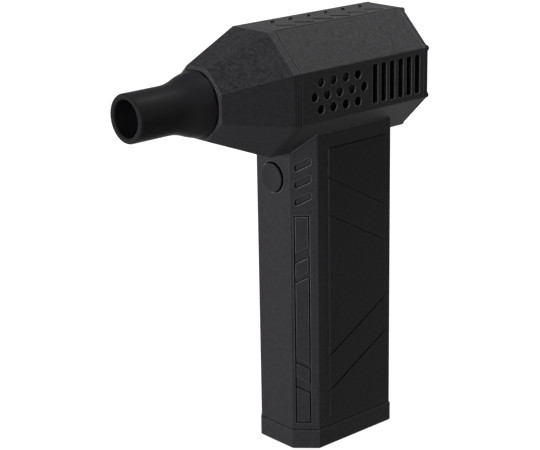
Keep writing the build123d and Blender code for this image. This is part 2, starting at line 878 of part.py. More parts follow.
def strip_cut():
    """Long channel with flush tiles in it, parted by slanted gaps and the same both ways up."""
    top = grip_height - strip_top_drop
    bottom = base_height + strip_bottom_rise
    middle = (top + bottom) / 2
    length = top - bottom
    channel = Pos(strip_offset, middle) * Rectangle(strip_width, length)
    tiles = Pos(strip_offset, middle) * Rectangle(
        strip_width - 2 * strip_groove, length - 2 * strip_groove
    )
    left = strip_offset - strip_width / 2
    right = strip_offset + strip_width / 2
    gaps = ((strip_narrow_gap_place, strip_narrow_gap), (strip_wide_gap_place, strip_wide_gap))
    for place, height in gaps:
        tiles -= slanted(left, right, middle + place, height, slash_slope)
        tiles -= slanted(left, right, middle - place, height, -slash_slope)
    return bar_along(chamfer_plane(), channel - tiles, strip_depth)


def panel_outline(gap=0.0):
    """The side panel seen from +X, as (y, z); gap makes its recess wider all round."""
    front = front_wall_y + grip_front_chamfer + panel_front_margin - gap
    rear = grip_depth / 2 - panel_rear_margin + gap
    bottom = base_height + panel_bottom_margin - gap
    top = grip_height + panel_top_margin + gap
    return Pos((front + rear) / 2, (bottom + top) / 2) * Rectangle(rear - front, top - bottom)


def side_plane(x):
    """Upright plane facing +X: its x is Y and its y is Z."""
    return Plane(origin=(x, 0, 0), x_dir=(0, 1, 0), z_dir=(1, 0, 0))


def panel_pegs(radius):
    """The four pegs on the inner face of a side panel."""
    corners = panel_outline(-panel_peg_inset).vertices()
    shapes = [Pos(corner.X, corner.Y) * Circle(radius) for corner in corners]
    recess_x = grip_width / 2 - (panel_thickness - panel_proud)
    return bar_along(side_plane(recess_x), Sketch() + shapes, recess_x - inner_half_width)


def board_rails(board_y):
    """Two pairs of ribs on the grip's inner side walls that hold the edges of a board."""
    reach = board_thickness / 2 + board_clearance
    ribs = []
    for side in (-1, 1):
        x_range = sorted((side * inner_half_width, side * (inner_half_width - board_rail_depth)))
        for edge in (-reach - board_rail, reach):
            y_range = (board_y + edge, board_y + edge + board_rail)
            ribs.append(block(x_range, y_range, (board_bottom, board_top)))
    return ribs


def base_boss_places():
    """Four places for the base screws, just inside the corners of the grip."""
    front_cut = grip_front_chamfer - (2 - math.sqrt(2)) * grip_wall
    front_inset = max(base_boss_wall_gap, (front_cut + math.sqrt(2) * base_boss_wall_gap) / 2)
    places = []
    for end, inset in ((-1, front_inset), (1, base_boss_wall_gap)):
        for side in (-1, 1):
            places.append((side * (inner_half_width - inset), end * (inner_half_depth - inset)))
    return places


def grip_shell():
    """Hollow grip with a saddle under the barrel, open below."""
    crown = barrel_axis_z
    shell = upright(grip_outline(0, grip_edge_radius), base_height, crown)
    reach = grip_depth
    cavity = upright(grip_outline(-grip_wall), base_height, crown)
    cavity -= along_y(octagon(barrel_half + grip_deck), reach, -reach)
    shell -= cavity
    shell -= along_y(octagon(barrel_half), reach, -reach)
    shell += board_rails(driver_board_y)
    shell += board_rails(switch_board_y + board_thickness / 2)
    deck_bottom = grip_height - grip_deck
    for x in (-1, 1):
        for y in (-1, 1):
            place = (x * neck_screw_across, y * neck_screw_along)
            shell += peg(*place, boss_radius, deck_bottom - neck_boss_depth, deck_bottom)
    pilot = screw_radius + seat_clearance
    shell -= floor_openings(grip_height, deck_bottom - neck_boss_depth, pilot)
    inside = upright(grip_outline(-grip_wall), base_height, base_boss_top)
    for place in base_boss_places():
        shell += peg(*place, boss_radius, base_height, base_boss_top) & inside
        shell -= peg(*place, pilot, base_height, base_boss_top)
    shell -= along_y(
        Pos(0, button_z - barrel_axis_z) * Circle(button_radius + button_hole_gap),
        front_wall_y + grip_wall,
        front_wall_y,
    )
    recess = bar_along(
        side_plane(grip_width / 2), panel_outline(panel_gap), panel_thickness - panel_proud
    )
    peg_holes = panel_pegs(panel_peg_radius + panel_gap)
    for cut in (recess, peg_holes, slash_cut(), strip_cut()):
        shell -= both_sides(cut)
    return shell


def side_panel():
    """Inset side panel with two grooves sloping down to the back and two sloping up."""
    outer_x = grip_width / 2 + panel_proud
    panel = bar_along(side_plane(outer_x), panel_outline(), panel_thickness)
    panel = chamfer(panel.faces().sort_by(Axis.X)[-1].edges(), panel_bevel)
    box = panel.bounding_box()
    front, rear = box.min.Y, box.max.Y
    grooves = []
    for i in range(2):
        upper = box.max.Z - panel_upper_groove_drop - i * panel_groove_pitch
        lower = box.min.Z + panel_lower_groove_rise + i * panel_groove_pitch
        for start, slope in ((upper, -panel_groove_slope), (lower, panel_groove_slope)):
            middle_z = start - slope * front
            grooves.append(slanted(front, rear, middle_z, panel_groove_width, slope))
    panel -= bar_along(side_plane(outer_x), Sketch() + grooves, panel_groove_depth)
    return panel + panel_pegs(panel_peg_radius)


def side_panel_right():
    return side_panel()


def side_panel_left():
    return mirror(side_panel(), about=Plane.YZ)


def usb_outline(gap=0.0):
    """Rounded outline of the charging socket."""
    return SlotOverall(usb_width + 2 * gap, usb_height + 2 * gap)


def base_cap():
    """Cap with a lip into the grip, screw towers, board posts and the charging socket's window."""
    cap = upright(grip_outline(base_proud, grip_edge_radius), 0, base_height)
    cap = chamfer(cap.faces().sort_by(Axis.Z)[-1].edges(), base_groove)
    cap = chamfer(cap.faces().sort_by(Axis.Z)[0].edges(), base_bottom_bevel)
    lip_outer = grip_outline(-grip_wall - push_clearance)
    lip_inner = grip_outline(-grip_wall - push_clearance - base_lip_wall)
    cap += upright(lip_outer, base_height, base_height + base_lip_height)
    cap -= upright(lip_inner, base_floor, base_height + base_lip_height)
    for place in base_boss_places():
        clear = boss_radius + board_clearance
        cap -= peg(*place, clear, base_height, base_height + base_lip_height)
        cap += peg(*place, base_tower_radius, base_floor, base_height)
        head_top = base_screw_recess + screw_head_height
        cap -= peg(*place, screw_head_radius + push_clearance, 0, head_top)
        cap -= peg(*place, screw_radius + push_clearance, head_top, base_height)
    for x in (-1, 1):
        for y in (0, 1):
            x_place = x * (charge_board_width / 2 - post_radius)
            y_place = charge_board_front_y + post_radius + y * (charge_board_length - 2 * usb_depth)
            cap += peg(x_place, y_place, post_radius, base_floor, charge_board_z)
    window = Pos(0, usb_z - barrel_axis_z) * usb_outline(push_clearance)
    rear = grip_depth / 2 + base_proud
    return cap - along_y(window, rear, rear - usb_depth)


def base_screws():
    """Four screws up through the base cap into the grip."""
    head_bottom = base_screw_recess
    head_top = head_bottom + screw_head_height
    screw = peg(0, 0, screw_head_radius, head_bottom, head_top)
    screw += peg(0, 0, screw_radius, head_top, base_boss_top - push_clearance)
    return Compound(children=[Pos(x, y, 0) * screw for x, y in base_boss_places()])


def neck_screws():
    """Four screws down through the barrel's floor into the top of the grip."""
    seat = grip_height + barrel_wall
    screw = peg(0, 0, screw_head_radius, seat, seat + screw_head_height)
    screw += peg(0, 0, screw_radius, seat - neck_screw_length, seat)
    return Compound(
        children=[
            Pos(x * neck_screw_across, y * neck_screw_along, 0) * screw
            for x in (-1, 1)
            for y in (-1, 1)
        ]
    )


# Button and switch


def from_front(section, front_y, rear_y):
    """A section on the button's axis, from front_y back to rear_y."""
    return along_y(Pos(0, button_z - barrel_axis_z) * section, rear_y, front_y)


def power_button():
    """Round push button with a dished face, a flange behind the wall and a stem to the switch."""
    face_y = front_wall_y - button_proud
    button = from_front(Circle(button_radius), face_y, button_flange_y)
    rim = button.edges().filter_by(GeomType.CIRCLE).group_by(Axis.Y)[0]
    button = fillet(rim, button_edge_radius)
    reach = button_radius - 2 * button_edge_radius
    dish_radius = (reach**2 + button_dish_depth**2) / (2 * button_dish_depth)
    dish_y = face_y + button_dish_depth - dish_radius
    button -= Pos(0, dish_y, button_z) * Sphere(dish_radius)
    flange_radius = button_radius + button_hole_gap + button_flange_overlap
    button += from_front(Circle(flange_radius), button_flange_y, button_flange_y + button_flange)
    return button + from_front(
        Circle(button_stem_radius), button_flange_y + button_flange, stem_end_y
    )


def switch_plunger():
    """Moving pin of the switch, under the button's stem."""
    return from_front(Circle(plunger_radius), stem_end_y, switch_front_y + plunger_guide)


def tact_switch():
    """Switch body on its board, bored for the plunger."""
    body = from_front(Rectangle(switch_size, switch_size), switch_front_y, switch_board_y)
    depth = plunger_guide + button_travel + plunger_spare
    bore = Circle(plunger_radius + running_clearance)
    return body - from_front(bore, switch_front_y, switch_front_y + depth)


# Boards and their parts


def upright_board(front_y):
    """Board across the grip, between its rails."""
    return block(
        (-board_half_width, board_half_width),
        (front_y, front_y + board_thickness),
        (board_bottom, board_top),
    )


def switch_board():
    return upright_board(switch_board_y)


def driver_board():
    return upright_board(driver_front_y)


def power_transistors():
    """Six power transistors in two rows on the front of the driver board."""
    body = block(
        (-transistor_size / 2, transistor_size / 2),
        (driver_front_y - transistor_thickness, driver_front_y),
        (0, transistor_size),
    )
    first_z = board_bottom + transistor_rise
    return Compound(
        children=[
            Pos(column * transistor_column_pitch, 0, first_z + row * transistor_row_pitch) * body
            for column in (-1, 0, 1)
            for row in (0, 1)
        ]
    )


def capacitors():
    """Two capacitors lying upright on the back of the driver board."""
    y = driver_rear_y + capacitor_radius + seat_clearance
    x = board_half_width / 2
    bottom = board_bottom + capacitor_radius
    return Compound(
        children=[
            peg(side * x, y, capacitor_radius, bottom, bottom + capacitor_length)
            for side in (-1, 1)
        ]
    )


def charge_board():
    """Charging board on the base cap's posts, notched for its socket."""
    top = charge_board_z + charge_board_thickness
    half = charge_board_width / 2
    board = block(
        (-half, half), (charge_board_front_y, charge_board_rear_y), (charge_board_z, top)
    )
    notch = usb_width / 2 + push_clearance
    back = usb_mouth_y - usb_depth - push_clearance
    return board - block((-notch, notch), (back, usb_mouth_y), (charge_board_z, top))


def usb_socket():
    """Charging socket: rounded shell, closed at the back, with a contact tongue."""
    place = Pos(0, usb_z - barrel_axis_z)
    back_y = usb_mouth_y - usb_depth
    socket = along_y(place * usb_outline(), usb_mouth_y, back_y)
    socket -= along_y(place * usb_outline(-usb_shell), usb_mouth_y, back_y + usb_shell * 3)
    contact = Rectangle(usb_tongue_width, usb_tongue_thickness)
    return socket + along_y(place * contact, usb_mouth_y - usb_depth / 4, back_y + usb_shell)


# Battery


def cell(y, up):
    """Round cell with its contact button up or down."""
    low, high = (cell_bottom, cell_top)
    body_low = low if up else low + cell_button_height
    body_high = high - cell_button_height if up else high
    can = peg(0, y, cell_radius, body_low, body_high)
    return can + peg(0, y, cell_button_radius, low, high)


def battery_cell_front():
    return cell(-cell_y, True)


def battery_cell_rear():
    return cell(cell_y, False)


def frame_block(bottom, top):
    """Outline of a cell holder, with a notch on each side for the charging leads."""
    body = upright(grip_outline(-grip_wall - frame_clearance), bottom, top)
    notch = peg(side_lead_x, 0, lead_radius * 2, bottom, top)
    edge = block(
        (side_lead_x, inner_half_width), (-2 * lead_radius, 2 * lead_radius), (bottom, top)
    )
    return body - both_sides(notch + edge)


def cell_pockets(bottom, top, radius):
    return [peg(0, y, radius, bottom, top) for y in (-cell_y, cell_y)]


def battery_frame_bottom():
    """Holder under the cells, resting on the grip's screw bosses."""
    floor = base_boss_top + frame_plate
    frame = frame_block(base_boss_top, floor + frame_pocket_depth)
    frame -= cell_pockets(floor, floor + frame_pocket_depth, cell_radius + pocket_clearance)
    window = Rectangle(strap_width, 4 * cell_radius - 2 * strap_width)
    return frame - upright(window, floor, floor + frame_pocket_depth)


def battery_frame_top():
    """Holder over the cells, under the boards, with windows for the battery leads."""
    plate_bottom = cell_top + strap_thickness
    frame = frame_block(plate_bottom - frame_pocket_depth, plate_bottom + frame_plate)
    low = plate_bottom - frame_pocket_depth
    frame -= cell_pockets(low, plate_bottom, cell_radius + pocket_clearance)
    return frame - cell_pockets(plate_bottom, plate_bottom + frame_plate, strap_width / 2)


def cell_straps():
    """Nickel straps: one joins the cells below, and each has its own tab on top."""
    low = cell_bottom - strap_thickness
    bottom = upright(Rectangle(strap_width, 2 * cell_y + strap_width), low, cell_bottom)
    tab = upright(Rectangle(strap_width, strap_width), cell_top, cell_top + strap_thickness)
    tabs = [Pos(0, y, 0) * tab for y in (-cell_y, cell_y)]
    return Compound(children=[bottom] + tabs)


# Leads


def lead(points, bend=lead_bend):
    """Insulated wire along straight runs joined by arcs."""
    path = FilletPolyline(*points, radius=bend)
    start = Plane(origin=path @ 0, z_dir=path % 0)
    return sweep(start * Circle(lead_radius), path=path)


def motor_leads():
    """Three wires from the motor down through the hub, duct, barrel floor and grip to the board."""
    turn_z = board_top - lead_bend
    top = barrel_axis_z - motor_radius - push_clearance
    leads = []
    for i in (-1, 0, 1):
        x = i * lead_pitch
        route = [
            (x, lead_y, top),
            (x, lead_y, grip_height - grip_deck - lead_radius),
            (x, lead_bay_y, turn_z),
            (x, driver_front_y, turn_z),
        ]
        leads.append(lead(route))
    return Compound(children=leads)


def battery_leads():
    """Wire from each cell's top tab to the driver board."""
    x = strap_width / 4
    low = cell_top + strap_thickness
    high = board_bottom + transistor_rise + (transistor_row_pitch + transistor_size) / 2
    front = [(x, -cell_y, low), (x, -cell_y, high), (x, driver_front_y, high)]
    back_y = max(cell_y, driver_rear_y + 2 * lead_radius)
    back = [(-x, back_y, low), (-x, back_y, high), (-x, driver_rear_y, high)]
    return Compound(children=[lead(front), lead(back, (back_y - driver_rear_y) * 0.8)])


def switch_leads():
    """Two wires with a little slack from the switch board to the driver board."""
    start_y = switch_board_y + board_thickness
    span = driver_front_y - start_y
    z = board_top - lead_bend
    sag = span / 4
    leads = []
    for side in (-1, 1):
        x = side * (board_half_width - board_rail_depth - 2 * lead_radius)
        route = [
            (x, start_y, z),
            (x, start_y + span * 0.2, z),
            (x, start_y + span * 0.5, z - sag),
            (x, start_y + span * 0.8, z),
            (x, driver_front_y, z),
        ]
        leads.append(lead(route, sag * 0.6))
    return Compound(children=leads)


def charge_leads():
    """Two wires from the charging board up beside the cells to the driver board."""
    low = charge_board_z + charge_board_thickness
    start_x = charge_board_width / 2 - 2 * lead_radius
    bend_z = base_height + base_lip_height / 2
    high = board_bottom + lead_bend
    x = side_lead_x
    route = [
        (start_x, 0, low),
        (start_x, 0, bend_z),
        (x, 0, base_boss_top),
        (x, 0, high),
        (x, driver_front_y, high),
    ]
    return Compound(children=both_sides(lead(route, lead_bend / 2)))


PIECES = [
    barrel_shell,
    front_cone,
    rear_cover,
    intake_filter,
    nozzle,
    nozzle_seal,
    fan_duct,
    duct_gasket,
    front_damper,
    tail_cone,
    impeller,
    impeller_nut,
    motor_shaft,
    rotor_magnet,
    rear_bearing,
    front_bearing,
    motor_can,
    motor_end_bell,
    stator_core,
    stator_windings,
    motor_screws,
    motor_leads,
    grip_shell,
    side_panel_right,
    side_panel_left,
    base_cap,
    base_screws,
    neck_screws,
    power_button,
    switch_plunger,
    tact_switch,
    switch_board,
    switch_leads,
    driver_board,
    power_transistors,
    capacitors,
    charge_board,
    usb_socket,
    charge_leads,
    battery_cell_front,
    battery_cell_rear,
    battery_frame_bottom,
    battery_frame_top,
    cell_straps,
    battery_leads,
]

os.makedirs("parts", exist_ok=True)
for make in PIECES:
    export_step(make(), f"parts/{make.__name__}.step")
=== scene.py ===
"""Looks of a small cordless jet blower: black plastics, the inner works, a white studio and the camera."""
import json
import math

import bmesh
import bpy
from mathutils import Matrix, Vector, noise


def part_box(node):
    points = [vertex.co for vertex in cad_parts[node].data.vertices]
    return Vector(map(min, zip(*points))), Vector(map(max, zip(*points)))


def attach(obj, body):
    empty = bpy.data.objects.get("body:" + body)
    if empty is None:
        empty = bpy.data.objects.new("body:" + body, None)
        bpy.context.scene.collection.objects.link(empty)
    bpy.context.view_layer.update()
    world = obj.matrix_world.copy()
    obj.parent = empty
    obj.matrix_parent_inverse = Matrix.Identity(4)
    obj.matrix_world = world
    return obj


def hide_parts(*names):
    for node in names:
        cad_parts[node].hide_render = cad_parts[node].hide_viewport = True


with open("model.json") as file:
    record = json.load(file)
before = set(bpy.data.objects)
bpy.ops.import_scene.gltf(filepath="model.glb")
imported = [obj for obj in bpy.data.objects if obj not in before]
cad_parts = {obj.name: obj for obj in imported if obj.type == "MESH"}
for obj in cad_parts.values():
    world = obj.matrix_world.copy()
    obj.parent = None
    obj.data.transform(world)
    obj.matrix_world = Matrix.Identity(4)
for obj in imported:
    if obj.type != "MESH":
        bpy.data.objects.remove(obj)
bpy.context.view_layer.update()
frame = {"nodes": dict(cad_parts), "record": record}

MM = 0.001
NODES = frame["nodes"]
SUBPARTS = frame["record"]["subparts"]


# Shader sums and finishes


BEVEL_SAMPLES = 6
OCCLUSION_SAMPLES = 8
EDGE_TURN = (0.01, 0.2)
OUTER_EDGE_SHARE = (0.025, 0.13)
CREVICE_SHARE = (0.08, 0.4)
CLOUD_RANGE = (0.3, 0.7)

# Sockets of the colour mix node, whose names repeat
MIX_SHARE = 0
MIX_FIRST = 6
MIX_SECOND = 7
MIX_RESULT = 2


class Value:
    """A socket in a finish, so that shader sums read as plain arithmetic."""

    def __init__(self, finish, socket):
        self.finish = finish
        self.socket = socket

    def with_math(self, operation, first, second):
        return self.finish.node("ShaderNodeMath", {"operation": operation}, {0: first, 1: second})

    def __add__(self, other):
        return self.with_math("ADD", self, other)

    __radd__ = __add__

    def __sub__(self, other):
        return self.with_math("SUBTRACT", self, other)

    def __rsub__(self, other):
        return self.with_math("SUBTRACT", other, self)

    def __mul__(self, other):
        return self.with_math("MULTIPLY", self, other)

    __rmul__ = __mul__

    def __gt__(self, other):
        return self.with_math("GREATER_THAN", self, other)

    def __lt__(self, other):
        return self.with_math("LESS_THAN", self, other)

    def __mod__(self, other):
        return self.with_math("FLOORED_MODULO", self, other)

    def higher(self, other):
        """The greater of two values."""
        return self.with_math("MAXIMUM", self, other)

    def zigzag(self, width):
        """The value folded up and down between 0 and this width."""
        return self.with_math("PINGPONG", self, width)


class Finish:
    """The nodes of one material, or of the world. Places in it are metres in the part's frame."""

    def __init__(self, owner):
        owner.use_nodes = True
        self.owner = owner
        self.tree = owner.node_tree
        self.tree.nodes.clear()

    def node(self, kind, settings=None, sockets=None, out=0):
        made = self.tree.nodes.new(kind)
        for key, value in (settings or {}).items():
            setattr(made, key, value)
        for key, value in (sockets or {}).items():
            if isinstance(value, Value):
                self.tree.links.new(value.socket, made.inputs[key])
            else:
                made.inputs[key].default_value = value
        return Value(self, made.outputs[out]) if made.outputs else None

    def place(self):
        return self.node("ShaderNodeTexCoord", out="Object")

    def stretched(self, size):
        """The place, counted in features of this size (one number, or one for each of X, Y and Z)."""
        sizes = size if isinstance(size, tuple) else (size, size, size)
        scale = tuple(1 / part for part in sizes)
        return self.node("ShaderNodeVectorMath", {"operation": "MULTIPLY"}, {0: self.place(), 1: scale})

    def along(self, direction, name):
        """How far a direction or place lies along X, Y or Z."""
        return self.node("ShaderNodeSeparateXYZ", {}, {"Vector": direction}, out=name)

    def axis(self, name):
        """The place along X, Y or Z."""
        return self.along(self.place(), name)

    def mottle(self, size, detail=2.0, roughness=0.5):
        """Soft cloudy value from 0 to 1 whose features have this size."""
        sockets = {"Vector": self.stretched(size), "Scale": 1.0, "Detail": detail, "Roughness": roughness}
        return self.node("ShaderNodeTexNoise", {}, sockets)

    def cells(self, size, feature="F1"):
        """Distance field of scattered cells of this size."""
        sockets = {"Vector": self.stretched(size), "Scale": 1.0}
        return self.node("ShaderNodeTexVoronoi", {"feature": feature}, sockets, out="Distance")

    def spread(self, value, low, high, to=(0.0, 1.0)):
        """Maps low..high of a value to another range, and stops at its ends."""
        sockets = dict(enumerate((value, low, high, *to)))
        return self.node("ShaderNodeMapRange", {"clamp": True}, sockets)

    def varied(self, cloud, low, high):
        """Value that wanders from low to high with a cloudy one."""
        return self.spread(cloud, *CLOUD_RANGE, to=(low, high))

    def tint(self, share, first, second):
        """Colour from the first to the second by a share from 0 to 1."""
        sockets = {MIX_SHARE: share, MIX_FIRST: first, MIX_SECOND: second}
        return self.node("ShaderNodeMix", {"data_type": "RGBA"}, sockets, out=MIX_RESULT)

    def rounded(self, radius):
        """Surface direction as if every edge had this radius."""
        return self.node("ShaderNodeBevel", {"samples": BEVEL_SAMPLES}, {"Radius": radius})

    def edges(self, rounded):
        """1 on an edge and 0 on a flat, from the rounded direction."""
        flat = self.node("ShaderNodeNewGeometry", out="Normal")
        settings = {"operation": "DOT_PRODUCT"}
        agreement = self.node("ShaderNodeVectorMath", settings, {0: rounded, 1: flat}, out="Value")
        return self.spread(1 - agreement, *EDGE_TURN)

    def outer_edges(self, reach):
        """1 along edges that stand out and 0 on flats and in corners, over this reach."""
        settings = {"samples": OCCLUSION_SAMPLES, "inside": True, "only_local": True}
        buried = self.node("ShaderNodeAmbientOcclusion", settings, {"Distance": reach}, out="AO")
        return self.spread(1 - buried, *OUTER_EDGE_SHARE)

    def crevices(self, reach):
        """1 deep in grooves, seams and corners and 0 on open faces, over this reach."""
        settings = {"samples": OCCLUSION_SAMPLES}
        open_share = self.node("ShaderNodeAmbientOcclusion", settings, {"Distance": reach}, out="AO")
        return self.spread(1 - open_share, *CREVICE_SHARE)

    def relief(self, height, depth, strength, under=None):
        """Surface direction with a relief of this depth in metres."""
        sockets = {"Height": height, "Distance": depth, "Strength": strength}
        if under is not None:
            sockets["Normal"] = under
        return self.node("ShaderNodeBump", {}, sockets)

    def done(self, from_above_only=False, **sockets):
        """Sets the surface; a name's underscores stand for spaces."""
        named = {key.replace("_", " "): value for key, value in sockets.items()}
        surface = self.node("ShaderNodeBsdfPrincipled", {}, named)
        if from_above_only:
            below = self.node("ShaderNodeNewGeometry", out="Backfacing")
            clear = self.node("ShaderNodeBsdfTransparent")
            surface = self.node("ShaderNodeMixShader", {}, {0: below, 1: surface, 2: clear})
        self.node("ShaderNodeOutputMaterial", {}, {"Surface": surface})
        return self.owner


def new_finish(name):
    """Empty finish of a new material."""
    return Finish(bpy.data.materials.new(name))


CHARCOAL = (1.03, 0.97, 1.06)


def rgb(red, green, blue):
    """Opaque linear colour."""
    return (red, green, blue, 1.0)


def grey(value, warm=0.0):
    """Linear grey, a little warm or cool."""
    return rgb(value * (1 + warm), value, value * (1 - warm))


def charcoal(value):
    """Linear dark grey of the black plastic, a touch violet."""
    return rgb(*(value * part for part in CHARCOAL))


def shaded(colour, factor, lift=0.0):
    """Darker or paler form of a colour, up to white."""
    return rgb(*(min(1.0, part * factor + lift) for part in colour[:3]))


BLACK = grey(0.0)
WHITE = grey(1.0)


# Plastics of the outside


EDGE_RADIUS = 0.22 * MM
EDGE_REACH = 0.25 * MM
GRAIN_SIZE = 0.5 * MM
FINE_GRAIN_SIZE = 0.2 * MM
BLOTCH_SIZE = 1.5 * MM

# Speckle of the grain: its parts' shares, its darkest and palest shade, and its strength on upright faces;
# its full strength on faces turned up is a painted glint
GRAIN_SHARE = 0.6
BLOTCH_SHARE = 0.4
FINE_GRAIN_SHARE = 0.2
SPECKLE_RANGE = (0.45, 0.78)
SPECKLE_DARK = 0.3
SPECKLE_LIGHT = 1.8
UPRIGHT_CONTRAST = 0.35
FACING_UP = (0.3, 0.65)

# Edges carry wear and a painted highlight, in patches, fading towards the bottom and faint on the rear
# cover
PATCH_SIZE = 4 * MM
PATCH_RANGE = (0.3, 0.6)
PATCH_LEAST = 0.6
GRADE_LOW_HEIGHT = 12 * MM
GRADE_HIGH_HEIGHT = 80 * MM
LOW_EDGE_MARK = 0.3
COVER_EDGE_MARK = 0.2
RIM_TURN = (-0.35, 0.5)
TOPMOST_TURN = (0.89, 0.93)
TOPMOST_LEAN = (0.86, 0.95)
LEAN_SHARE = 0.3
TOPMOST_DARKNESS = 0.97
COVER_GAP = 0.02 * MM
# The rear cover is painted darker than the barrel
COVER_DARKENING = 0.5
COVER_SHADE = 0.003

# Crevice tone reaches this far out of seams, grooves and recesses: painted shade, and in the panel's
# grooves a paler tone that lifts their shade
SEAM_REACH = 0.5 * MM
GROOVE_REACH = 1.0 * MM
RECESS_REACH = 1.4 * MM
RECESS_SHADE = 0.003

# Painted shade in the chevrons of the barrel's top, along the top's edges and just above the base cap's
# seam
PAINTED_SHADE_TONE = 0.002
FACE_SKIN = 0.05 * MM
CHEVRON_REACH = 8.8 * MM
CHEVRON_FLOOR = 0.9 * MM
OCTAGON_HALF_SIDE = math.tan(math.pi / 8)
TOP_EDGE_WIDTH = 1.1 * MM
TOP_EDGE_SHADE = 0.9
BASE_SEAM_HEIGHT = 0.4 * MM
BASE_SEAM_SHADE = 0.55


def in_chevrons(finish):
    """1 in the chevrons' arms on the +X half of the barrel's top."""
    low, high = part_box("barrel_shell")
    height = finish.axis("Z")
    sunk = (height < high.z - FACE_SKIN) * (height > high.z - CHEVRON_FLOOR)
    behind_cone = finish.axis("Y") > low.y
    across = finish.axis("X")
    on_half = (across < CHEVRON_REACH) * (across > 0.0)
    return sunk * behind_cone * on_half


def on_top_edges(finish):
    """Share of painted shade along both long edges of the barrel's top."""
    low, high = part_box("barrel_shell")
    inner = (high.x - low.x) / 2 * OCTAGON_HALF_SIDE - TOP_EDGE_WIDTH
    across = finish.axis("X")
    outer = (across > inner).higher(across < -inner)
    behind_cone = finish.axis("Y") > low.y
    on_top = finish.axis("Z") > high.z - FACE_SKIN
    return outer * behind_cone * on_top * TOP_EDGE_SHADE


def in_base_seam(finish):
    """Share of painted shade just above the seam between grip and base cap."""
    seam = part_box("grip_shell")[0].z
    height = finish.axis("Z")
    return (height > seam - FACE_SKIN) * (height < seam + BASE_SEAM_HEIGHT) * BASE_SEAM_SHADE


def edge_wear_and_highlight(finish, height_share, on_cover):
    """Share of edge wear and painted highlight, in patches."""
    patchy = finish.spread(finish.mottle(PATCH_SIZE, detail=4.0), *PATCH_RANGE, to=(PATCH_LEAST, 1.0))
    by_height = height_share * (1 - LOW_EDGE_MARK) + LOW_EDGE_MARK
    by_piece = 1 - on_cover * (1 - COVER_EDGE_MARK)
    return finish.outer_edges(EDGE_REACH) * patchy * by_height * by_piece


def edge_highlight_colour(finish, rounded, shade, edge_highlight):
    """Painted edge colour: a painted highlight, palest where the edge turns a little up, and painted shade
    round the very top.
    """
    turned_up = finish.along(rounded, "Z")
    leaning = turned_up + finish.along(rounded, "X") * LEAN_SHARE
    rim = finish.spread(turned_up, *RIM_TURN, to=(shade, edge_highlight))
    topmost = finish.spread(turned_up, *TOPMOST_TURN).higher(finish.spread(leaning, *TOPMOST_LEAN))
    # Painted highlight tone of the edges, with painted shade round the very top
    worn = rim * (1 - topmost * TOPMOST_DARKNESS)
    red, green, blue = (worn * part for part in CHARCOAL)
    return finish.node("ShaderNodeCombineColor", {}, {"Red": red, "Green": green, "Blue": blue})


def grained_black(finish, shade, roughness, grain_depth, edge_highlight, low_crevice_tone, high_crevice_tone, crevice_reach):
    """Black plastic with the hard grain of its mould; its edges carry wear and a painted highlight, and
    its crevices carry painted shade (in the panel's grooves a paler tone that lifts their shade).
    """
    rounded = finish.rounded(EDGE_RADIUS)
    grain = finish.mottle(GRAIN_SIZE, detail=3.0, roughness=0.62)
    fine = finish.cells(FINE_GRAIN_SIZE)
    blotch = finish.mottle(BLOTCH_SIZE, detail=3.0, roughness=0.6)
    # Speckle strongest on faces turned up: a painted glint on the grain
    contrast = finish.spread(finish.along(rounded, "Z"), *FACING_UP, to=(UPRIGHT_CONTRAST, 1.0))
    mixed = grain * GRAIN_SHARE + blotch * BLOTCH_SHARE + fine * FINE_GRAIN_SHARE
    speckle = finish.spread(mixed, *SPECKLE_RANGE, to=(-0.5, 0.5)) * contrast + 0.5
    body = finish.tint(speckle, charcoal(shade * SPECKLE_DARK), charcoal(shade * SPECKLE_LIGHT))

    # Height grade: edge wear and painted highlight fade towards the bottom, and the crevice tone follows
    # it
    height_share = finish.spread(finish.axis("Z"), GRADE_LOW_HEIGHT, GRADE_HIGH_HEIGHT)
    on_cover = 1 - (finish.axis("Y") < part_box("barrel_shell")[1].y + COVER_GAP)
    # Edges: wear and a painted highlight, with painted shade round the very top
    wear_and_highlight = edge_wear_and_highlight(finish, height_share, on_cover)
    edged = finish.tint(wear_and_highlight, body, edge_highlight_colour(finish, rounded, shade, edge_highlight))
    # The rear cover is painted darker than the barrel
    pieces = finish.tint(on_cover * COVER_DARKENING, edged, charcoal(COVER_SHADE))
    # Crevices painted: painted shade on the housing, and in the panel's grooves a paler tone that lifts
    # their shade, darker towards the bottom
    dust = finish.tint(height_share, charcoal(low_crevice_tone), charcoal(high_crevice_tone))
    crevice_toned = finish.tint(finish.crevices(crevice_reach), pieces, dust)
    # Painted shade: chevrons, base seam and the top's long edges go near black and fully rough
    painted_shade = in_chevrons(finish).higher(in_base_seam(finish)).higher(on_top_edges(finish))
    matted = finish.varied(grain, roughness - 0.08, roughness + 0.1) - wear_and_highlight * 0.1
    return finish.done(
        Base_Color=finish.tint(painted_shade, crevice_toned, charcoal(PAINTED_SHADE_TONE)),
        Roughness=matted.higher(painted_shade),
        Normal=finish.relief(grain + fine * 0.4, grain_depth, strength=0.8, under=rounded),
        Specular_IOR_Level=0.06,
    )


FLOW_MARKS = (5 * MM, 11 * MM, 5 * MM)
HAIRLINES = (0.25 * MM, 6 * MM, 0.25 * MM)
HAIRLINE_RANGE = (0.62, 0.74)
SATIN_SKIN = 0.5 * MM
SATIN_SKIN_DEPTH = 0.006 * MM
SATIN_SCUFF_AND_HIGHLIGHT = 3.0


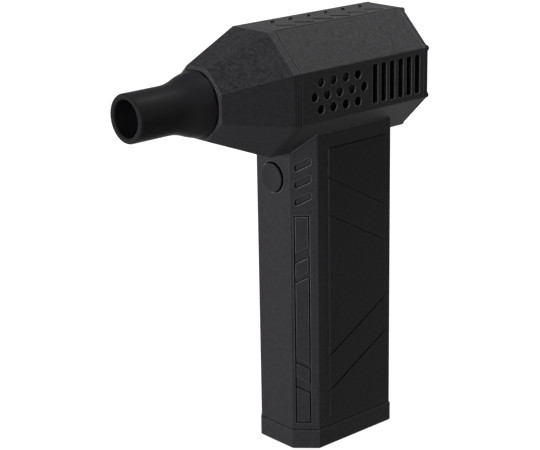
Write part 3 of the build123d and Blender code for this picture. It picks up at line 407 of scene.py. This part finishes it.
def satin_black(finish, shade, roughness, mirror):
    """Smooth black plastic with a satin face: faint flow marks, hairline scuffs, edges with wear and a
    painted highlight, and painted shade in recesses.
    """
    rounded = finish.rounded(EDGE_RADIUS)
    wear_and_highlight = finish.outer_edges(EDGE_REACH)
    flow = finish.mottle(FLOW_MARKS, detail=4.0)
    skin = finish.mottle(SATIN_SKIN, detail=3.0, roughness=0.6)
    scuffs = finish.spread(finish.mottle(HAIRLINES), *HAIRLINE_RANGE)
    body = finish.tint(flow, charcoal(shade * 0.85), charcoal(shade * 1.15))
    # Edges and scuffs paler: scuffs, edge wear and a painted highlight on the edges
    marked = finish.tint((wear_and_highlight * 0.5).higher(scuffs * 0.12), body, charcoal(shade * SATIN_SCUFF_AND_HIGHLIGHT))
    gloss = finish.varied(flow, roughness - 0.05, roughness + 0.05)
    # Recesses are painted darker: painted shade
    return finish.done(
        Base_Color=finish.tint(finish.crevices(RECESS_REACH), marked, charcoal(RECESS_SHADE)),
        Roughness=gloss + scuffs * 0.06,
        Normal=finish.relief(skin, SATIN_SKIN_DEPTH, strength=0.6, under=rounded),
        Specular_IOR_Level=mirror,
    )


# Rubber, foam and inner plastics


BLOOM_SIZE = 1.6 * MM
BLOOM_MOST = 0.3
RUBBER_SKIN = 0.12 * MM
RUBBER_SKIN_DEPTH = 0.008 * MM
FOAM_CELL = 0.55 * MM
FOAM_WALL = (0.04, 0.3)
FOAM_TANGLE = 0.3 * MM
FOAM_RELIEF = 0.25 * MM
FOAM_PORE_SHADE = grey(0.004)
FOAM_GREY = grey(0.045)
FIBRES = (0.2 * MM, 1.4 * MM, 0.3 * MM)
FIBRE_RANGE = (0.55, 0.7)
FIBRE_RELIEF = 0.006 * MM
MOULD_CLOUD = 4 * MM


def rubber(finish, colour, roughness):
    """Moulded rubber or silicone: a soft bloom of dust and a fine skin."""
    bloom = finish.spread(finish.mottle(BLOOM_SIZE, detail=4.0), 0.4, 0.75, to=(0.0, BLOOM_MOST))
    skin = finish.mottle(RUBBER_SKIN)
    return finish.done(
        Base_Color=finish.tint(bloom, colour, shaded(colour, 0.55, lift=0.06)),
        Roughness=finish.varied(skin, roughness - 0.06, roughness + 0.08),
        Normal=finish.relief(skin, RUBBER_SKIN_DEPTH, strength=0.6),
    )


def open_cell_foam(finish):
    """Open-cell filter foam: matted ligaments round pores painted dark as shade."""
    pores = finish.cells(FOAM_CELL, "DISTANCE_TO_EDGE")
    wall = finish.spread(pores, *FOAM_WALL, to=(1.0, 0.0))
    tangle = finish.mottle(FOAM_TANGLE, detail=3.0)
    matting = finish.spread(tangle, 0.2, 0.8, to=(0.6, 1.0))
    # Pores painted near black: painted shade inside the open cells
    return finish.done(
        Base_Color=finish.tint(wall * matting, FOAM_PORE_SHADE, FOAM_GREY),
        Roughness=finish.varied(tangle, 0.85, 1.0),
        Normal=finish.relief(wall, FOAM_RELIEF, strength=1.0),
        Specular_IOR_Level=0.15,
    )


def moulded(finish, colour, roughness, fleck):
    """Plain moulded plastic with short fibres in it and a slightly uneven gloss."""
    rounded = finish.rounded(EDGE_RADIUS)
    fibres = finish.spread(finish.mottle(FIBRES), *FIBRE_RANGE)
    cloud = finish.mottle(MOULD_CLOUD, detail=3.0)
    body = finish.tint(finish.varied(cloud, 0.0, 0.6), colour, shaded(colour, 0.82))
    return finish.done(
        Base_Color=finish.tint(fibres * fleck, body, shaded(colour, 1.35, lift=0.01)),
        Roughness=finish.varied(cloud, roughness - 0.06, roughness + 0.08),
        Normal=finish.relief(fibres, FIBRE_RELIEF, strength=0.5, under=rounded),
    )


# Metals


METAL_EDGE_RADIUS = 0.1 * MM
SCREW_EDGE_RADIUS = 0.12 * MM
TURNED_REACH = 40 * MM
TURNED_DEPTH = 0.006 * MM
SMEAR_SIZE = 2.5 * MM
CORE_SHEET = 0.35 * MM
CORE_JOINT = 0.08 * MM
CORE_JOINT_DEPTH = 0.05 * MM
CORE_RUST_PATCH = 1.2 * MM
CORE_RUST_MOST = 0.4
CORE_GREY = rgb(0.24, 0.24, 0.25)
CORE_RUST = rgb(0.16, 0.1, 0.07)
CORE_JOINT_BLACK = grey(0.02)
WINDING_WIRE = 0.42 * MM
WINDING_DEPTH = 0.2 * MM
WINDING_PATCH = 1.5 * MM
COPPER_BRIGHT = rgb(0.62, 0.24, 0.09)
COPPER_DULL = rgb(0.42, 0.14, 0.05)
SHADE_BETWEEN_WIRES = rgb(0.12, 0.03, 0.01)
OXIDE_PATCH = 0.6 * MM
OIL_PATCH = 0.9 * MM
OIL_DEPTH = 0.01 * MM
OXIDE_BLACK = grey(0.05, warm=-0.03)
WORN_STEEL = grey(0.36)
ROLLED_LINES = (0.08 * MM, 0.08 * MM, 6 * MM)
DENT_SIZE = 2.2 * MM
DENT_WEIGHT = 3
STAMPED_DEPTH = 0.008 * MM


def lathe_turned(finish, colour, roughness, line):
    """Turned metal: fine rings round the barrel's axis and a few smears."""
    rounded = finish.rounded(METAL_EDGE_RADIUS)
    rings = finish.mottle((TURNED_REACH, line, TURNED_REACH), detail=3.0)
    smear = finish.spread(finish.mottle(SMEAR_SIZE, detail=3.0), 0.35, 0.75, to=(0.0, 0.8))
    return finish.done(
        Base_Color=finish.tint(smear, colour, shaded(colour, 0.78)),
        Metallic=1.0,
        Roughness=finish.varied(rings, roughness - 0.07, roughness + 0.1),
        Normal=finish.relief(rings, TURNED_DEPTH, strength=0.6, under=rounded),
    )


def stacked_sheets(finish):
    """Steel core of thin sheets, a little rusty."""
    joint = (finish.axis("Y") % CORE_SHEET) < CORE_JOINT
    rust = finish.spread(finish.mottle(CORE_RUST_PATCH, detail=4.0), 0.5, 0.8, to=(0.0, CORE_RUST_MOST))
    return finish.done(
        Base_Color=finish.tint(joint, finish.tint(rust, CORE_GREY, CORE_RUST), CORE_JOINT_BLACK),
        Metallic=0.9,
        Roughness=finish.spread(rust, 0.0, CORE_RUST_MOST, to=(0.42, 0.62)),
        Normal=finish.relief(1 - joint, CORE_JOINT_DEPTH, strength=0.8),
    )


def winding_wire(finish):
    """Enamelled copper wire, laid close."""
    ridge = (finish.axis("X") + finish.axis("Z")).zigzag(WINDING_WIRE / 2)
    height = finish.spread(ridge, 0.0, WINDING_WIRE / 2)
    age = finish.mottle(WINDING_PATCH, detail=3.0)
    # Grooves between the wires painted dark: painted shade
    return finish.done(
        Base_Color=finish.tint(height, SHADE_BETWEEN_WIRES, finish.tint(age, COPPER_BRIGHT, COPPER_DULL)),
        Metallic=0.85,
        Roughness=finish.varied(age, 0.26, 0.4),
        Normal=finish.relief(height, WINDING_DEPTH, strength=1.0),
        Coat_Weight=0.5,
    )


def blackened_steel(finish):
    """Screws with a black oxide skin, worn bright on their edges."""
    rounded = finish.rounded(SCREW_EDGE_RADIUS)
    patchy = finish.spread(finish.mottle(OXIDE_PATCH, detail=4.0), 0.4, 0.6, to=(0.1, 1.0))
    worn = finish.edges(rounded) * patchy
    oil = finish.mottle(OIL_PATCH, detail=3.0)
    return finish.done(
        Base_Color=finish.tint(worn * 0.7, OXIDE_BLACK, WORN_STEEL),
        Metallic=0.9,
        Roughness=finish.varied(oil, 0.36, 0.56),
        Normal=finish.relief(oil, OIL_DEPTH, strength=0.5, under=rounded),
    )


def stamped(finish, colour, roughness):
    """Thin pressed strip or can: rolled lines and shallow dents."""
    rolled = finish.mottle(ROLLED_LINES)
    dents = finish.mottle(DENT_SIZE)
    dulled = finish.spread(dents, 0.35, 0.7, to=(0.0, 0.7))
    return finish.done(
        Base_Color=finish.tint(dulled, colour, shaded(colour, 0.75)),
        Metallic=1.0,
        Roughness=finish.varied(rolled, roughness - 0.06, roughness + 0.1),
        Normal=finish.relief(rolled + dents * DENT_WEIGHT, STAMPED_DEPTH, strength=0.6),
    )


# Electronics and cells


GLASS_THREAD = 0.4 * MM
TRACK_SPACING = (5 * MM, 5 * MM, 3 * MM)
TRACK_EDGE = (0.07, 0.1)
TRACK_DEPTH = 0.03 * MM
MASK_GREEN = rgb(0.012, 0.1, 0.035)
WEAVE_GREEN = rgb(0.02, 0.14, 0.05)
TRACK_GREEN = rgb(0.05, 0.24, 0.09)
CAPACITOR_TOP = 0.5 * MM
CAPACITOR_SHRINK = (1.2 * MM, 1.2 * MM, 4 * MM)
CAPACITOR_SHRINK_DEPTH = 0.02 * MM
CAPACITOR_NAVY = rgb(0.015, 0.018, 0.05)
BARE_ALUMINIUM = rgb(0.62, 0.62, 0.64)
CELL_BARE_END = 1.6 * MM
CELL_SHRINK = (2 * MM, 2 * MM, 9 * MM)
CELL_SHRINK_DEPTH = 0.03 * MM
CELL_BLUE = rgb(0.03, 0.14, 0.28)
CELL_STEEL = grey(0.56)


def circuit_board(finish):
    """Solder-masked board: a glass weave under the mask, and copper tracks."""
    crossing = finish.axis("X").zigzag(GLASS_THREAD) + finish.axis("Z").zigzag(GLASS_THREAD)
    weave = finish.spread(crossing, 0.0, 2 * GLASS_THREAD)
    gaps = finish.cells(TRACK_SPACING, "DISTANCE_TO_EDGE")
    track = finish.spread(gaps, *TRACK_EDGE, to=(1.0, 0.0))
    mask = finish.tint(weave * 0.3, MASK_GREEN, WEAVE_GREEN)
    return finish.done(
        Base_Color=finish.tint(track, mask, TRACK_GREEN),
        Roughness=finish.spread(weave, 0.0, 1.0, to=(0.3, 0.4)),
        Normal=finish.relief(track + weave * 0.15, TRACK_DEPTH, strength=0.7),
        Coat_Weight=0.3,
    )


def sleeved_can(finish):
    """Aluminium can in a dark shrink sleeve, bare at its top."""
    bare = finish.axis("Z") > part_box("capacitors")[1].z - CAPACITOR_TOP
    shrink = finish.mottle(CAPACITOR_SHRINK, detail=3.0)
    return finish.done(
        Base_Color=finish.tint(bare, CAPACITOR_NAVY, BARE_ALUMINIUM),
        Metallic=bare,
        Roughness=finish.varied(shrink, 0.28, 0.42),
        Normal=finish.relief(shrink, CAPACITOR_SHRINK_DEPTH, strength=0.5),
    )


def sleeved_cell(finish):
    """Steel cell in a blue shrink sleeve, with bare ends."""
    low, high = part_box("battery_cell_front")
    height = finish.axis("Z")
    bare = (height > high.z - CELL_BARE_END).higher(height < low.z + CELL_BARE_END)
    shrink = finish.mottle(CELL_SHRINK, detail=3.0)
    return finish.done(
        Base_Color=finish.tint(bare, CELL_BLUE, CELL_STEEL),
        Metallic=bare,
        Roughness=finish.varied(shrink, 0.24, 0.38),
        Normal=finish.relief(shrink, CELL_SHRINK_DEPTH, strength=0.5),
    )


# Each material slot's recipe and its settings
FINISHES = {
    "housing_plastic": (grained_black, {
        "shade": 0.03, "roughness": 0.55, "grain_depth": 0.03 * MM, "edge_highlight": 0.26,
        "low_crevice_tone": 0.004, "high_crevice_tone": 0.004, "crevice_reach": SEAM_REACH,
    }),
    "panel_plastic": (grained_black, {
        "shade": 0.02, "roughness": 0.55, "grain_depth": 0.02 * MM, "edge_highlight": 0.05,
        "low_crevice_tone": 0.032, "high_crevice_tone": 0.045, "crevice_reach": GROOVE_REACH,
    }),
    "nozzle_plastic": (satin_black, {"shade": 0.021, "roughness": 0.45, "mirror": 0.015}),
    "button_plastic": (satin_black, {"shade": 0.028, "roughness": 0.45, "mirror": 0.04}),
    "seal_rubber": (rubber, {"colour": grey(0.012), "roughness": 0.62}),
    "filter_foam": (open_cell_foam, {}),
    "duct_plastic": (moulded, {"colour": grey(0.012, warm=-0.03), "roughness": 0.6, "fleck": 0.3}),
    "frame_plastic": (moulded, {"colour": rgb(0.62, 0.6, 0.54), "roughness": 0.5, "fleck": 0.15}),
    "fan_alloy": (lathe_turned, {"colour": rgb(0.66, 0.66, 0.68), "roughness": 0.32, "line": 0.12 * MM}),
    "bright_steel": (lathe_turned, {"colour": grey(0.6), "roughness": 0.24, "line": 0.08 * MM}),
    "motor_steel": (lathe_turned, {"colour": rgb(0.4, 0.4, 0.41), "roughness": 0.34, "line": 0.1 * MM}),
    "core_steel": (stacked_sheets, {}),
    "copper": (winding_wire, {}),
    "screw_steel": (blackened_steel, {}),
    "board_green": (circuit_board, {}),
    "component_black": (moulded, {"colour": grey(0.018), "roughness": 0.55, "fleck": 0.2}),
    "plunger_plastic": (moulded, {"colour": rgb(0.55, 0.53, 0.46), "roughness": 0.42, "fleck": 0.1}),
    "capacitor_can": (sleeved_can, {}),
    "cell_sleeve": (sleeved_cell, {}),
    "nickel": (stamped, {"colour": rgb(0.6, 0.58, 0.54), "roughness": 0.3}),
    "socket_steel": (stamped, {"colour": rgb(0.55, 0.55, 0.56), "roughness": 0.26}),
    "motor_lead_cover": (rubber, {"colour": rgb(0.42, 0.03, 0.02), "roughness": 0.48}),
    "battery_lead_cover": (rubber, {"colour": rgb(0.3, 0.02, 0.015), "roughness": 0.48}),
    "switch_lead_cover": (rubber, {"colour": rgb(0.55, 0.54, 0.5), "roughness": 0.5}),
}
MATERIALS = {slot: recipe(new_finish(slot), **settings) for slot, (recipe, settings) in FINISHES.items()}


def dress_cad_nodes():
    """Gives every CAD node the finish of its slot."""
    for subpart in SUBPARTS:
        mesh = NODES[subpart["node"]].data
        mesh.materials.clear()
        mesh.materials.append(MATERIALS[subpart["material_slot"]])


# Pieces finer than the CAD


def new_piece(name, bm, slot):
    """Mesh piece that rides on the housing, in the finish of this slot."""
    bmesh.ops.recalc_face_normals(bm, faces=bm.faces)
    mesh = bpy.data.meshes.new(name)
    bm.to_mesh(mesh)
    bm.free()
    mesh.materials.append(MATERIALS[slot])
    piece = bpy.data.objects.new(name, mesh)
    bpy.context.scene.collection.objects.link(piece)
    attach(piece, "housing")
    return piece


def ring_of(bm, points):
    return [bm.verts.new(point) for point in points]


def bridge(bm, first, second):
    """Band of quads between two closed rings of as many points."""
    count = len(first)
    for step in range(count):
        after = (step + 1) % count
        bm.faces.new((first[step], first[after], second[after], second[step]))


def fill_between(bm, *rings):
    """Flat face between closed rings whose edges are there already."""
    edges = [bm.edges.get((ring[step], ring[step - 1])) for ring in rings for step in range(len(ring))]
    bmesh.ops.triangle_fill(bm, use_beauty=True, use_dissolve=False, edges=edges)


def circle(radius, height, count):
    """Points of a circle about Z."""
    turns = [2 * math.pi * step / count for step in range(count)]
    return [Vector((radius * math.cos(turn), radius * math.sin(turn), height)) for turn in turns]


FOAM_RINGS = 48
FOAM_SPOKES = 200
FOAM_WALL_ROWS = 4
FOAM_GAP = 0.02 * MM
FOAM_PORE = 0.9 * MM
FOAM_PORE_DEPTH = 0.4 * MM
FOAM_PORE_SPREAD = 0.6
FOAM_RIM_PORE_SHARE = 0.5


def pore_depth(point):
    """How deep an open cell of the foam lies under this point of its face."""
    near = noise.voronoi(point / FOAM_PORE)[0][0]
    return FOAM_PORE_DEPTH * max(0.0, 1 - near / FOAM_PORE_SPREAD)


def intake_foam():
    """Open-cell foam disc, pitted on both faces and round its rim."""
    low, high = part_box("intake_filter")
    middle = (low + high) / 2
    radius = (high.x - low.x) / 2 - FOAM_GAP
    half = (high.y - low.y) / 2
    bm = bmesh.new()

    def pitted_ring(out, along, inward=None):
        """Ring round the disc's axis; its pores go inward, or else towards the axis."""
        points = []
        for spoke in circle(out, 0.0, FOAM_SPOKES):
            point = middle + Vector((spoke.x, along, spoke.y))
            to_axis = Vector((-spoke.x, 0.0, -spoke.y)).normalized() * FOAM_RIM_PORE_SHARE
            way = to_axis if inward is None else inward
            points.append(point + way * pore_depth(point))
        return ring_of(bm, points)

    rims = []
    for side in (-1, 1):
        inward = Vector((0.0, -side, 0.0))
        hub = bm.verts.new(middle + Vector((0.0, side * half, 0.0)))
        last = None
        for step in range(1, FOAM_RINGS + 1):
            this = pitted_ring(radius * step / FOAM_RINGS, side * half, inward)
            if last:
                bridge(bm, last, this)
            else:
                for spoke in range(FOAM_SPOKES):
                    bm.faces.new((hub, this[spoke], this[(spoke + 1) % FOAM_SPOKES]))
            last = this
        rims.append(last)
    last = rims[0]
    for row in range(1, FOAM_WALL_ROWS):
        this = pitted_ring(radius, half * (2 * row / FOAM_WALL_ROWS - 1))
        bridge(bm, last, this)
        last = this
    bridge(bm, last, rims[1])
    foam = new_piece("intake_foam", bm, "filter_foam")
    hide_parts("intake_filter")


# Screws: shares are of the head's radius and height, and of the thread's radius and pitch
SCREW_SIDES = 32
HEAD_RINGS = ((0.78, 0.0), (0.93, 0.16), (1.0, 0.45), (1.0, 1.0))
RECESS_MOUTH = (0.52, 0.2)
RECESS_FLOOR = (0.24, 0.12)
RECESS_DEPTH = 0.7
THREAD_SIDES = 24
THREAD_ROWS_PER_TURN = 6
THREAD_GAP = 0.01 * MM
THREAD_ROOT = 0.76
THREAD_STEEPNESS = 3.2
TIP_RADIUS = 0.35
TIP_PITCHES = 2
SPIN_START = 0.3
SPIN_STEP = 0.7
BIG_SCREW = {
    "head_radius": 2.18 * MM, "head_height": 1.6 * MM, "shank_radius": 1.25 * MM, "pitch": 1.0 * MM,
}
MOTOR_SCREW = {
    "head_radius": 1.88 * MM, "head_height": 1.1 * MM, "shank_radius": 1.0 * MM, "pitch": 0.4 * MM,
}
X, Y, Z = range(3)
SCREW_SETS = {
    "base_screws": {"axis": Z, "head_low": True, "apart": (X, Y), "size": BIG_SCREW},
    "neck_screws": {"axis": Z, "head_low": False, "apart": (X, Y), "size": BIG_SCREW},
    "motor_screws": {"axis": Y, "head_low": False, "apart": (X,), "size": MOTOR_SCREW},
}


def cross_points(arm, width, height):
    """Outline of a cross recess."""
    half = width / 2
    corner = [(arm, -half), (arm, half), (half, half)]
    points = []
    for turn in range(4):
        spin = Matrix.Rotation(turn * math.pi / 2, 2)
        points += [spin @ Vector(place) for place in corner]
    return [Vector((place.x, place.y, height)) for place in points]


def thread_points(height, radius, pitch):
    """One row of a rolled thread, square to Z."""
    points = []
    for step, point in enumerate(circle(1.0, 0.0, THREAD_SIDES)):
        along = (height / pitch - step / THREAD_SIDES) % 1.0
        ridge = max(0.0, 1 - abs(along - 0.5) * THREAD_STEEPNESS)
        out = radius * (THREAD_ROOT + (1 - THREAD_ROOT) * ridge)
        points.append(Vector((point.x * out, point.y * out, height)))
    return points


def add_screw(bm, at, size):
    """Pan-head screw with cross recess and rolled thread: its head's face is at z = 0, its tip up Z."""

    def ring(points):
        return ring_of(bm, [at @ point for point in points])

    head = size["head_radius"]
    tall = size["head_height"]
    rings = [ring(circle(head * out, tall * rise, SCREW_SIDES)) for out, rise in HEAD_RINGS]
    for first, second in zip(rings, rings[1:]):
        bridge(bm, first, second)
    mouth = ring(cross_points(head * RECESS_MOUTH[0], head * RECESS_MOUTH[1], 0.0))
    floor = ring(cross_points(head * RECESS_FLOOR[0], head * RECESS_FLOOR[1], tall * RECESS_DEPTH))
    bridge(bm, mouth, floor)
    bm.faces.new(floor)
    fill_between(bm, rings[0], mouth)

    crest = size["shank_radius"] - THREAD_GAP
    length = size["length"]
    pitch = size["pitch"]
    count = round((length - tall) / pitch * THREAD_ROWS_PER_TURN)
    rows = []
    for row in range(count + 1):
        height = tall + (length - tall) * row / count
        taper = min(1.0, TIP_RADIUS + (length - height) / (TIP_PITCHES * pitch))
        rows.append(ring(thread_points(height, crest * taper, pitch)))
    for first, second in zip(rows, rows[1:]):
        bridge(bm, first, second)
    bm.faces.new(rows[-1])
    fill_between(bm, rings[-1], rows[0])


def screw_middles(node, axes):
    """Middle of each screw of a CAD node, told apart by their sides of the node's middle."""
    low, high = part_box(node)
    middle = (low + high) / 2
    groups = {}
    shown = NODES[node]
    for vertex in shown.data.vertices:
        point = shown.matrix_world @ vertex.co
        groups.setdefault(tuple(point[axis] > middle[axis] for axis in axes), []).append(point)
    middles = []
    for points in groups.values():
        least = Vector(min(point[axis] for point in points) for axis in range(3))
        most = Vector(max(point[axis] for point in points) for axis in range(3))
        middles.append((least + most) / 2)
    return middles


def fine_screws():
    """Screws with recess and thread in place of the CAD's plain ones."""
    for node, screws in SCREW_SETS.items():
        low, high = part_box(node)
        axis = screws["axis"]
        tip_way = Vector((0.0, 0.0, 0.0))
        tip_way[axis] = 1.0 if screws["head_low"] else -1.0
        turn = tip_way.to_track_quat("Z", "Y").to_matrix().to_4x4()
        size = dict(screws["size"], length=high[axis] - low[axis])
        bm = bmesh.new()
        for number, place in enumerate(screw_middles(node, screws["apart"])):
            place[axis] = low[axis] if screws["head_low"] else high[axis]
            spin = Matrix.Rotation(SPIN_START + SPIN_STEP * number, 4, "Z")
            add_screw(bm, Matrix.Translation(place) @ turn @ spin, size)
        made = new_piece(node.replace("screws", "cross_screws"), bm, "screw_steel")
        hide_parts(node)


# Tongue of the charging socket
TONGUE_WIDTH = 6.7 * MM
TONGUE_THICKNESS = 0.7 * MM
TONGUE_BACK = 1.05 * MM
TONGUE_FRONT_GAP = 1.825 * MM
SLEEVE_PROUD = 0.02 * MM
SLEEVE_NOSE = ((0.02 * MM, 0.0), (0.1 * MM, 0.08 * MM), (0.15 * MM, 0.2 * MM))
SLEEVE_ARC_STEPS = 8
CONTACT_COUNT = 12
CONTACT_PITCH = 0.5 * MM
CONTACT_WIDTH = 0.26 * MM
CONTACT_PROUD = 0.05 * MM
CONTACT_BACK_GAP = 0.2 * MM
CONTACT_FRONT_GAP = 0.35 * MM
CONTACT_STEPS = 8
CONTACT_SECTION = ((-1.0, -0.3), (-1.0, 0.7), (-0.7, 1.0), (0.7, 1.0), (1.0, 0.7), (1.0, -0.3))
NOSE_DIP_START = 0.8
NOSE_DIP_LEFT = 0.1
NOSE_TAPER_START = 0.85
NOSE_TAPER = 0.35


def rounded_slab(width, thickness, along, shrink):
    """Outline of a flat tongue with round edges, square to Y, about the origin."""
    half = thickness / 2 - shrink
    straight = width / 2 - thickness / 2
    points = []
    for side in (1, -1):
        for step in range(SLEEVE_ARC_STEPS + 1):
            turn = side * math.pi / 2 - math.pi * step / SLEEVE_ARC_STEPS
            points.append(Vector((side * straight + half * math.cos(turn), along, half * math.sin(turn))))
    return points


def add_contact(bm, at, side, back, front):
    """One contact: a narrow strip with rounded shoulders whose nose dips into the sleeve."""
    last = None
    for step in range(CONTACT_STEPS + 1):
        share = step / CONTACT_STEPS
        dip = max(0.0, share - NOSE_DIP_START) / (1 - NOSE_DIP_START)
        proud = CONTACT_PROUD * max(NOSE_DIP_LEFT, 1 - dip)
        taper = max(0.0, share - NOSE_TAPER_START) / (1 - NOSE_TAPER_START)
        half = CONTACT_WIDTH / 2 * (1 - NOSE_TAPER * taper)
        along = back + (front - back) * share
        points = [at + Vector((half * x, along, side * proud * out)) for x, out in CONTACT_SECTION]
        this = ring_of(bm, points)
        if last:
            bridge(bm, last, this)
        else:
            bm.faces.new(this)
        last = this
    bm.faces.new(last)


def socket_tongue():
    """Black tongue sleeve of the charging socket and its sprung contacts."""
    low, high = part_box("usb_socket")
    middle = (low + high) / 2
    base = Vector((middle.x, 0.0, middle.z))
    back = low.y + TONGUE_BACK
    front = high.y - TONGUE_FRONT_GAP
    wide = TONGUE_WIDTH + 2 * SLEEVE_PROUD + TONGUE_THICKNESS
    thick = TONGUE_THICKNESS + 2 * SLEEVE_PROUD
    bm = bmesh.new()
    rings = []
    for along, shrink in ((back, 0.0), *((front + ahead, shrink) for ahead, shrink in SLEEVE_NOSE)):
        rings.append(ring_of(bm, [base + point for point in rounded_slab(wide, thick, along, shrink)]))
    for first, second in zip(rings, rings[1:]):
        bridge(bm, first, second)
    bm.faces.new(rings[-1])
    bm.faces.new(rings[0])
    new_piece("socket_tongue", bm, "component_black")

    bm = bmesh.new()
    start = (CONTACT_COUNT - 1) / 2 * CONTACT_PITCH
    for side in (-1, 1):
        for number in range(CONTACT_COUNT):
            at = base + Vector((number * CONTACT_PITCH - start, 0.0, side * thick / 2))
            add_contact(bm, at, side, back + CONTACT_BACK_GAP, front - CONTACT_FRONT_GAP)
    new_piece("socket_contacts", bm, "nickel")


# White studio


FLOOR_REACH = 4.0
FLOOR_LEVEL = -0.05 * MM
FLOOR_WHITE = 0.95
FLOOR_PATCH = 0.4
FLOOR_GREYS = (grey(0.25), grey(0.26))
SWEEP_TOP = (0.28, 0.5)
CEILING = 0.05
SOFTBOXES = {
    "behind_low": {"place": (0.0, 1.25, 0.55), "size": 0.5, "power": 5.2},
    "behind_left": {"place": (-0.4, 1.0, 0.8), "size": 0.5, "power": 2.0},
    "behind_above": {"place": (0.0, 0.4, 0.6), "size": 0.2, "power": 0.75},
    "overhead": {"place": (0.06, 0.25, 0.66), "size": 0.15, "power": 2.6},
    "front": {"place": (-0.1, -1.3, 0.25), "size": 0.4, "power": 3.6},
    "front_right": {"place": (0.18, -1.28, 0.25), "size": 0.3, "power": 11.4},
    "left": {"place": (-1.2, 0.05, 0.15), "size": 0.5, "power": 5.0},
}
LIT_POINT = Vector((0.0, -0.01, 0.1))


def seen_rays(finish):
    """1 for what the camera sees straight, in a mirror or through glass."""
    seen = finish.node("ShaderNodeLightPath", out="Is Camera Ray")
    mirrored = finish.node("ShaderNodeLightPath", out="Is Glossy Ray")
    through = finish.node("ShaderNodeLightPath", out="Is Transmission Ray")
    return seen.higher(mirrored).higher(through)


def studio_floor():
    """Wide white floor, clear from below, that takes the blower's shadow."""
    mesh = bpy.data.meshes.new("studio_floor")
    sides = ((-1, -1), (1, -1), (1, 1), (-1, 1))
    corners = [(x * FLOOR_REACH, y * FLOOR_REACH, FLOOR_LEVEL) for x, y in sides]
    mesh.from_pydata(corners, [], [(0, 1, 2, 3)])
    floor = bpy.data.objects.new("studio_floor", mesh)
    bpy.context.scene.collection.objects.link(floor)
    finish = new_finish("studio_floor")
    glow = seen_rays(finish) * FLOOR_WHITE
    paint = finish.done(
        from_above_only=True,
        Base_Color=finish.tint(finish.mottle(FLOOR_PATCH), *FLOOR_GREYS),
        Roughness=0.9,
        Emission_Color=finish.tint(glow, BLACK, WHITE),
        Emission_Strength=1.0,
        Specular_IOR_Level=0.1,
    )
    mesh.materials.append(paint)


def studio_world():
    """White sweep all round, under a dim ceiling that only mirrors see."""
    world = bpy.data.worlds.new("studio_world")
    finish = Finish(world)
    direction = finish.node("ShaderNodeTexCoord", out="Generated")
    sweep = finish.spread(finish.along(direction, "Z"), *SWEEP_TOP, to=(1.0, CEILING))
    seen = finish.node("ShaderNodeLightPath", out="Is Camera Ray")
    white = seen.higher(seen_rays(finish) * sweep)
    colour = finish.tint(white, BLACK, WHITE)
    background = finish.node("ShaderNodeBackground", {}, {"Color": colour, "Strength": 1.0})
    finish.node("ShaderNodeOutputWorld", {}, {"Surface": background})
    bpy.context.scene.world = world


def softboxes():
    """Square lamps, turned to the blower."""
    for name, box in SOFTBOXES.items():
        data = bpy.data.lights.new(name, "AREA")
        data.shape = "SQUARE"
        data.size = box["size"]
        data.energy = box["power"]
        lamp = bpy.data.objects.new(name, data)
        lamp.location = box["place"]
        lamp.rotation_mode = "QUATERNION"
        lamp.rotation_quaternion = (LIT_POINT - lamp.location).to_track_quat("-Z", "Y")
        bpy.context.scene.collection.objects.link(lamp)


# Camera: place, direction and focal length fitted to the photograph's edges


IMAGE_WIDTH = 540
FOCAL_PIXELS = 1621.62
SENSOR_WIDTH = 36.0
NEAR_CLIP = 0.01
FAR_CLIP = 20.0
CAMERA_PLACE = Vector((0.43353, -0.41114, 0.27406))
CAMERA_AZIMUTH = math.radians(48.312)
CAMERA_ELEVATION = math.radians(17.630)
CAMERA_ROLL = math.radians(-1.013)


def photo_camera():
    data = bpy.data.cameras.new("photo_camera")
    data.sensor_width = SENSOR_WIDTH
    data.lens = FOCAL_PIXELS * SENSOR_WIDTH / IMAGE_WIDTH
    data.clip_start = NEAR_CLIP
    data.clip_end = FAR_CLIP
    flat = math.cos(CAMERA_ELEVATION)
    back = Vector((
        math.sin(CAMERA_AZIMUTH) * flat,
        -math.cos(CAMERA_AZIMUTH) * flat,
        math.sin(CAMERA_ELEVATION),
    ))
    right = Vector((math.cos(CAMERA_AZIMUTH), math.sin(CAMERA_AZIMUTH), 0.0))
    up = back.cross(right)
    turn = Matrix((right, up, back)).transposed() @ Matrix.Rotation(CAMERA_ROLL, 3, "Z")
    camera = bpy.data.objects.new("photo_camera", data)
    camera.matrix_world = Matrix.Translation(CAMERA_PLACE) @ turn.to_4x4()
    bpy.context.scene.collection.objects.link(camera)
    bpy.context.scene.camera = camera


dress_cad_nodes()
intake_foam()
fine_screws()
socket_tongue()
studio_floor()
studio_world()
softboxes()
photo_camera()
bpy.context.scene.view_settings.view_transform = "Standard"
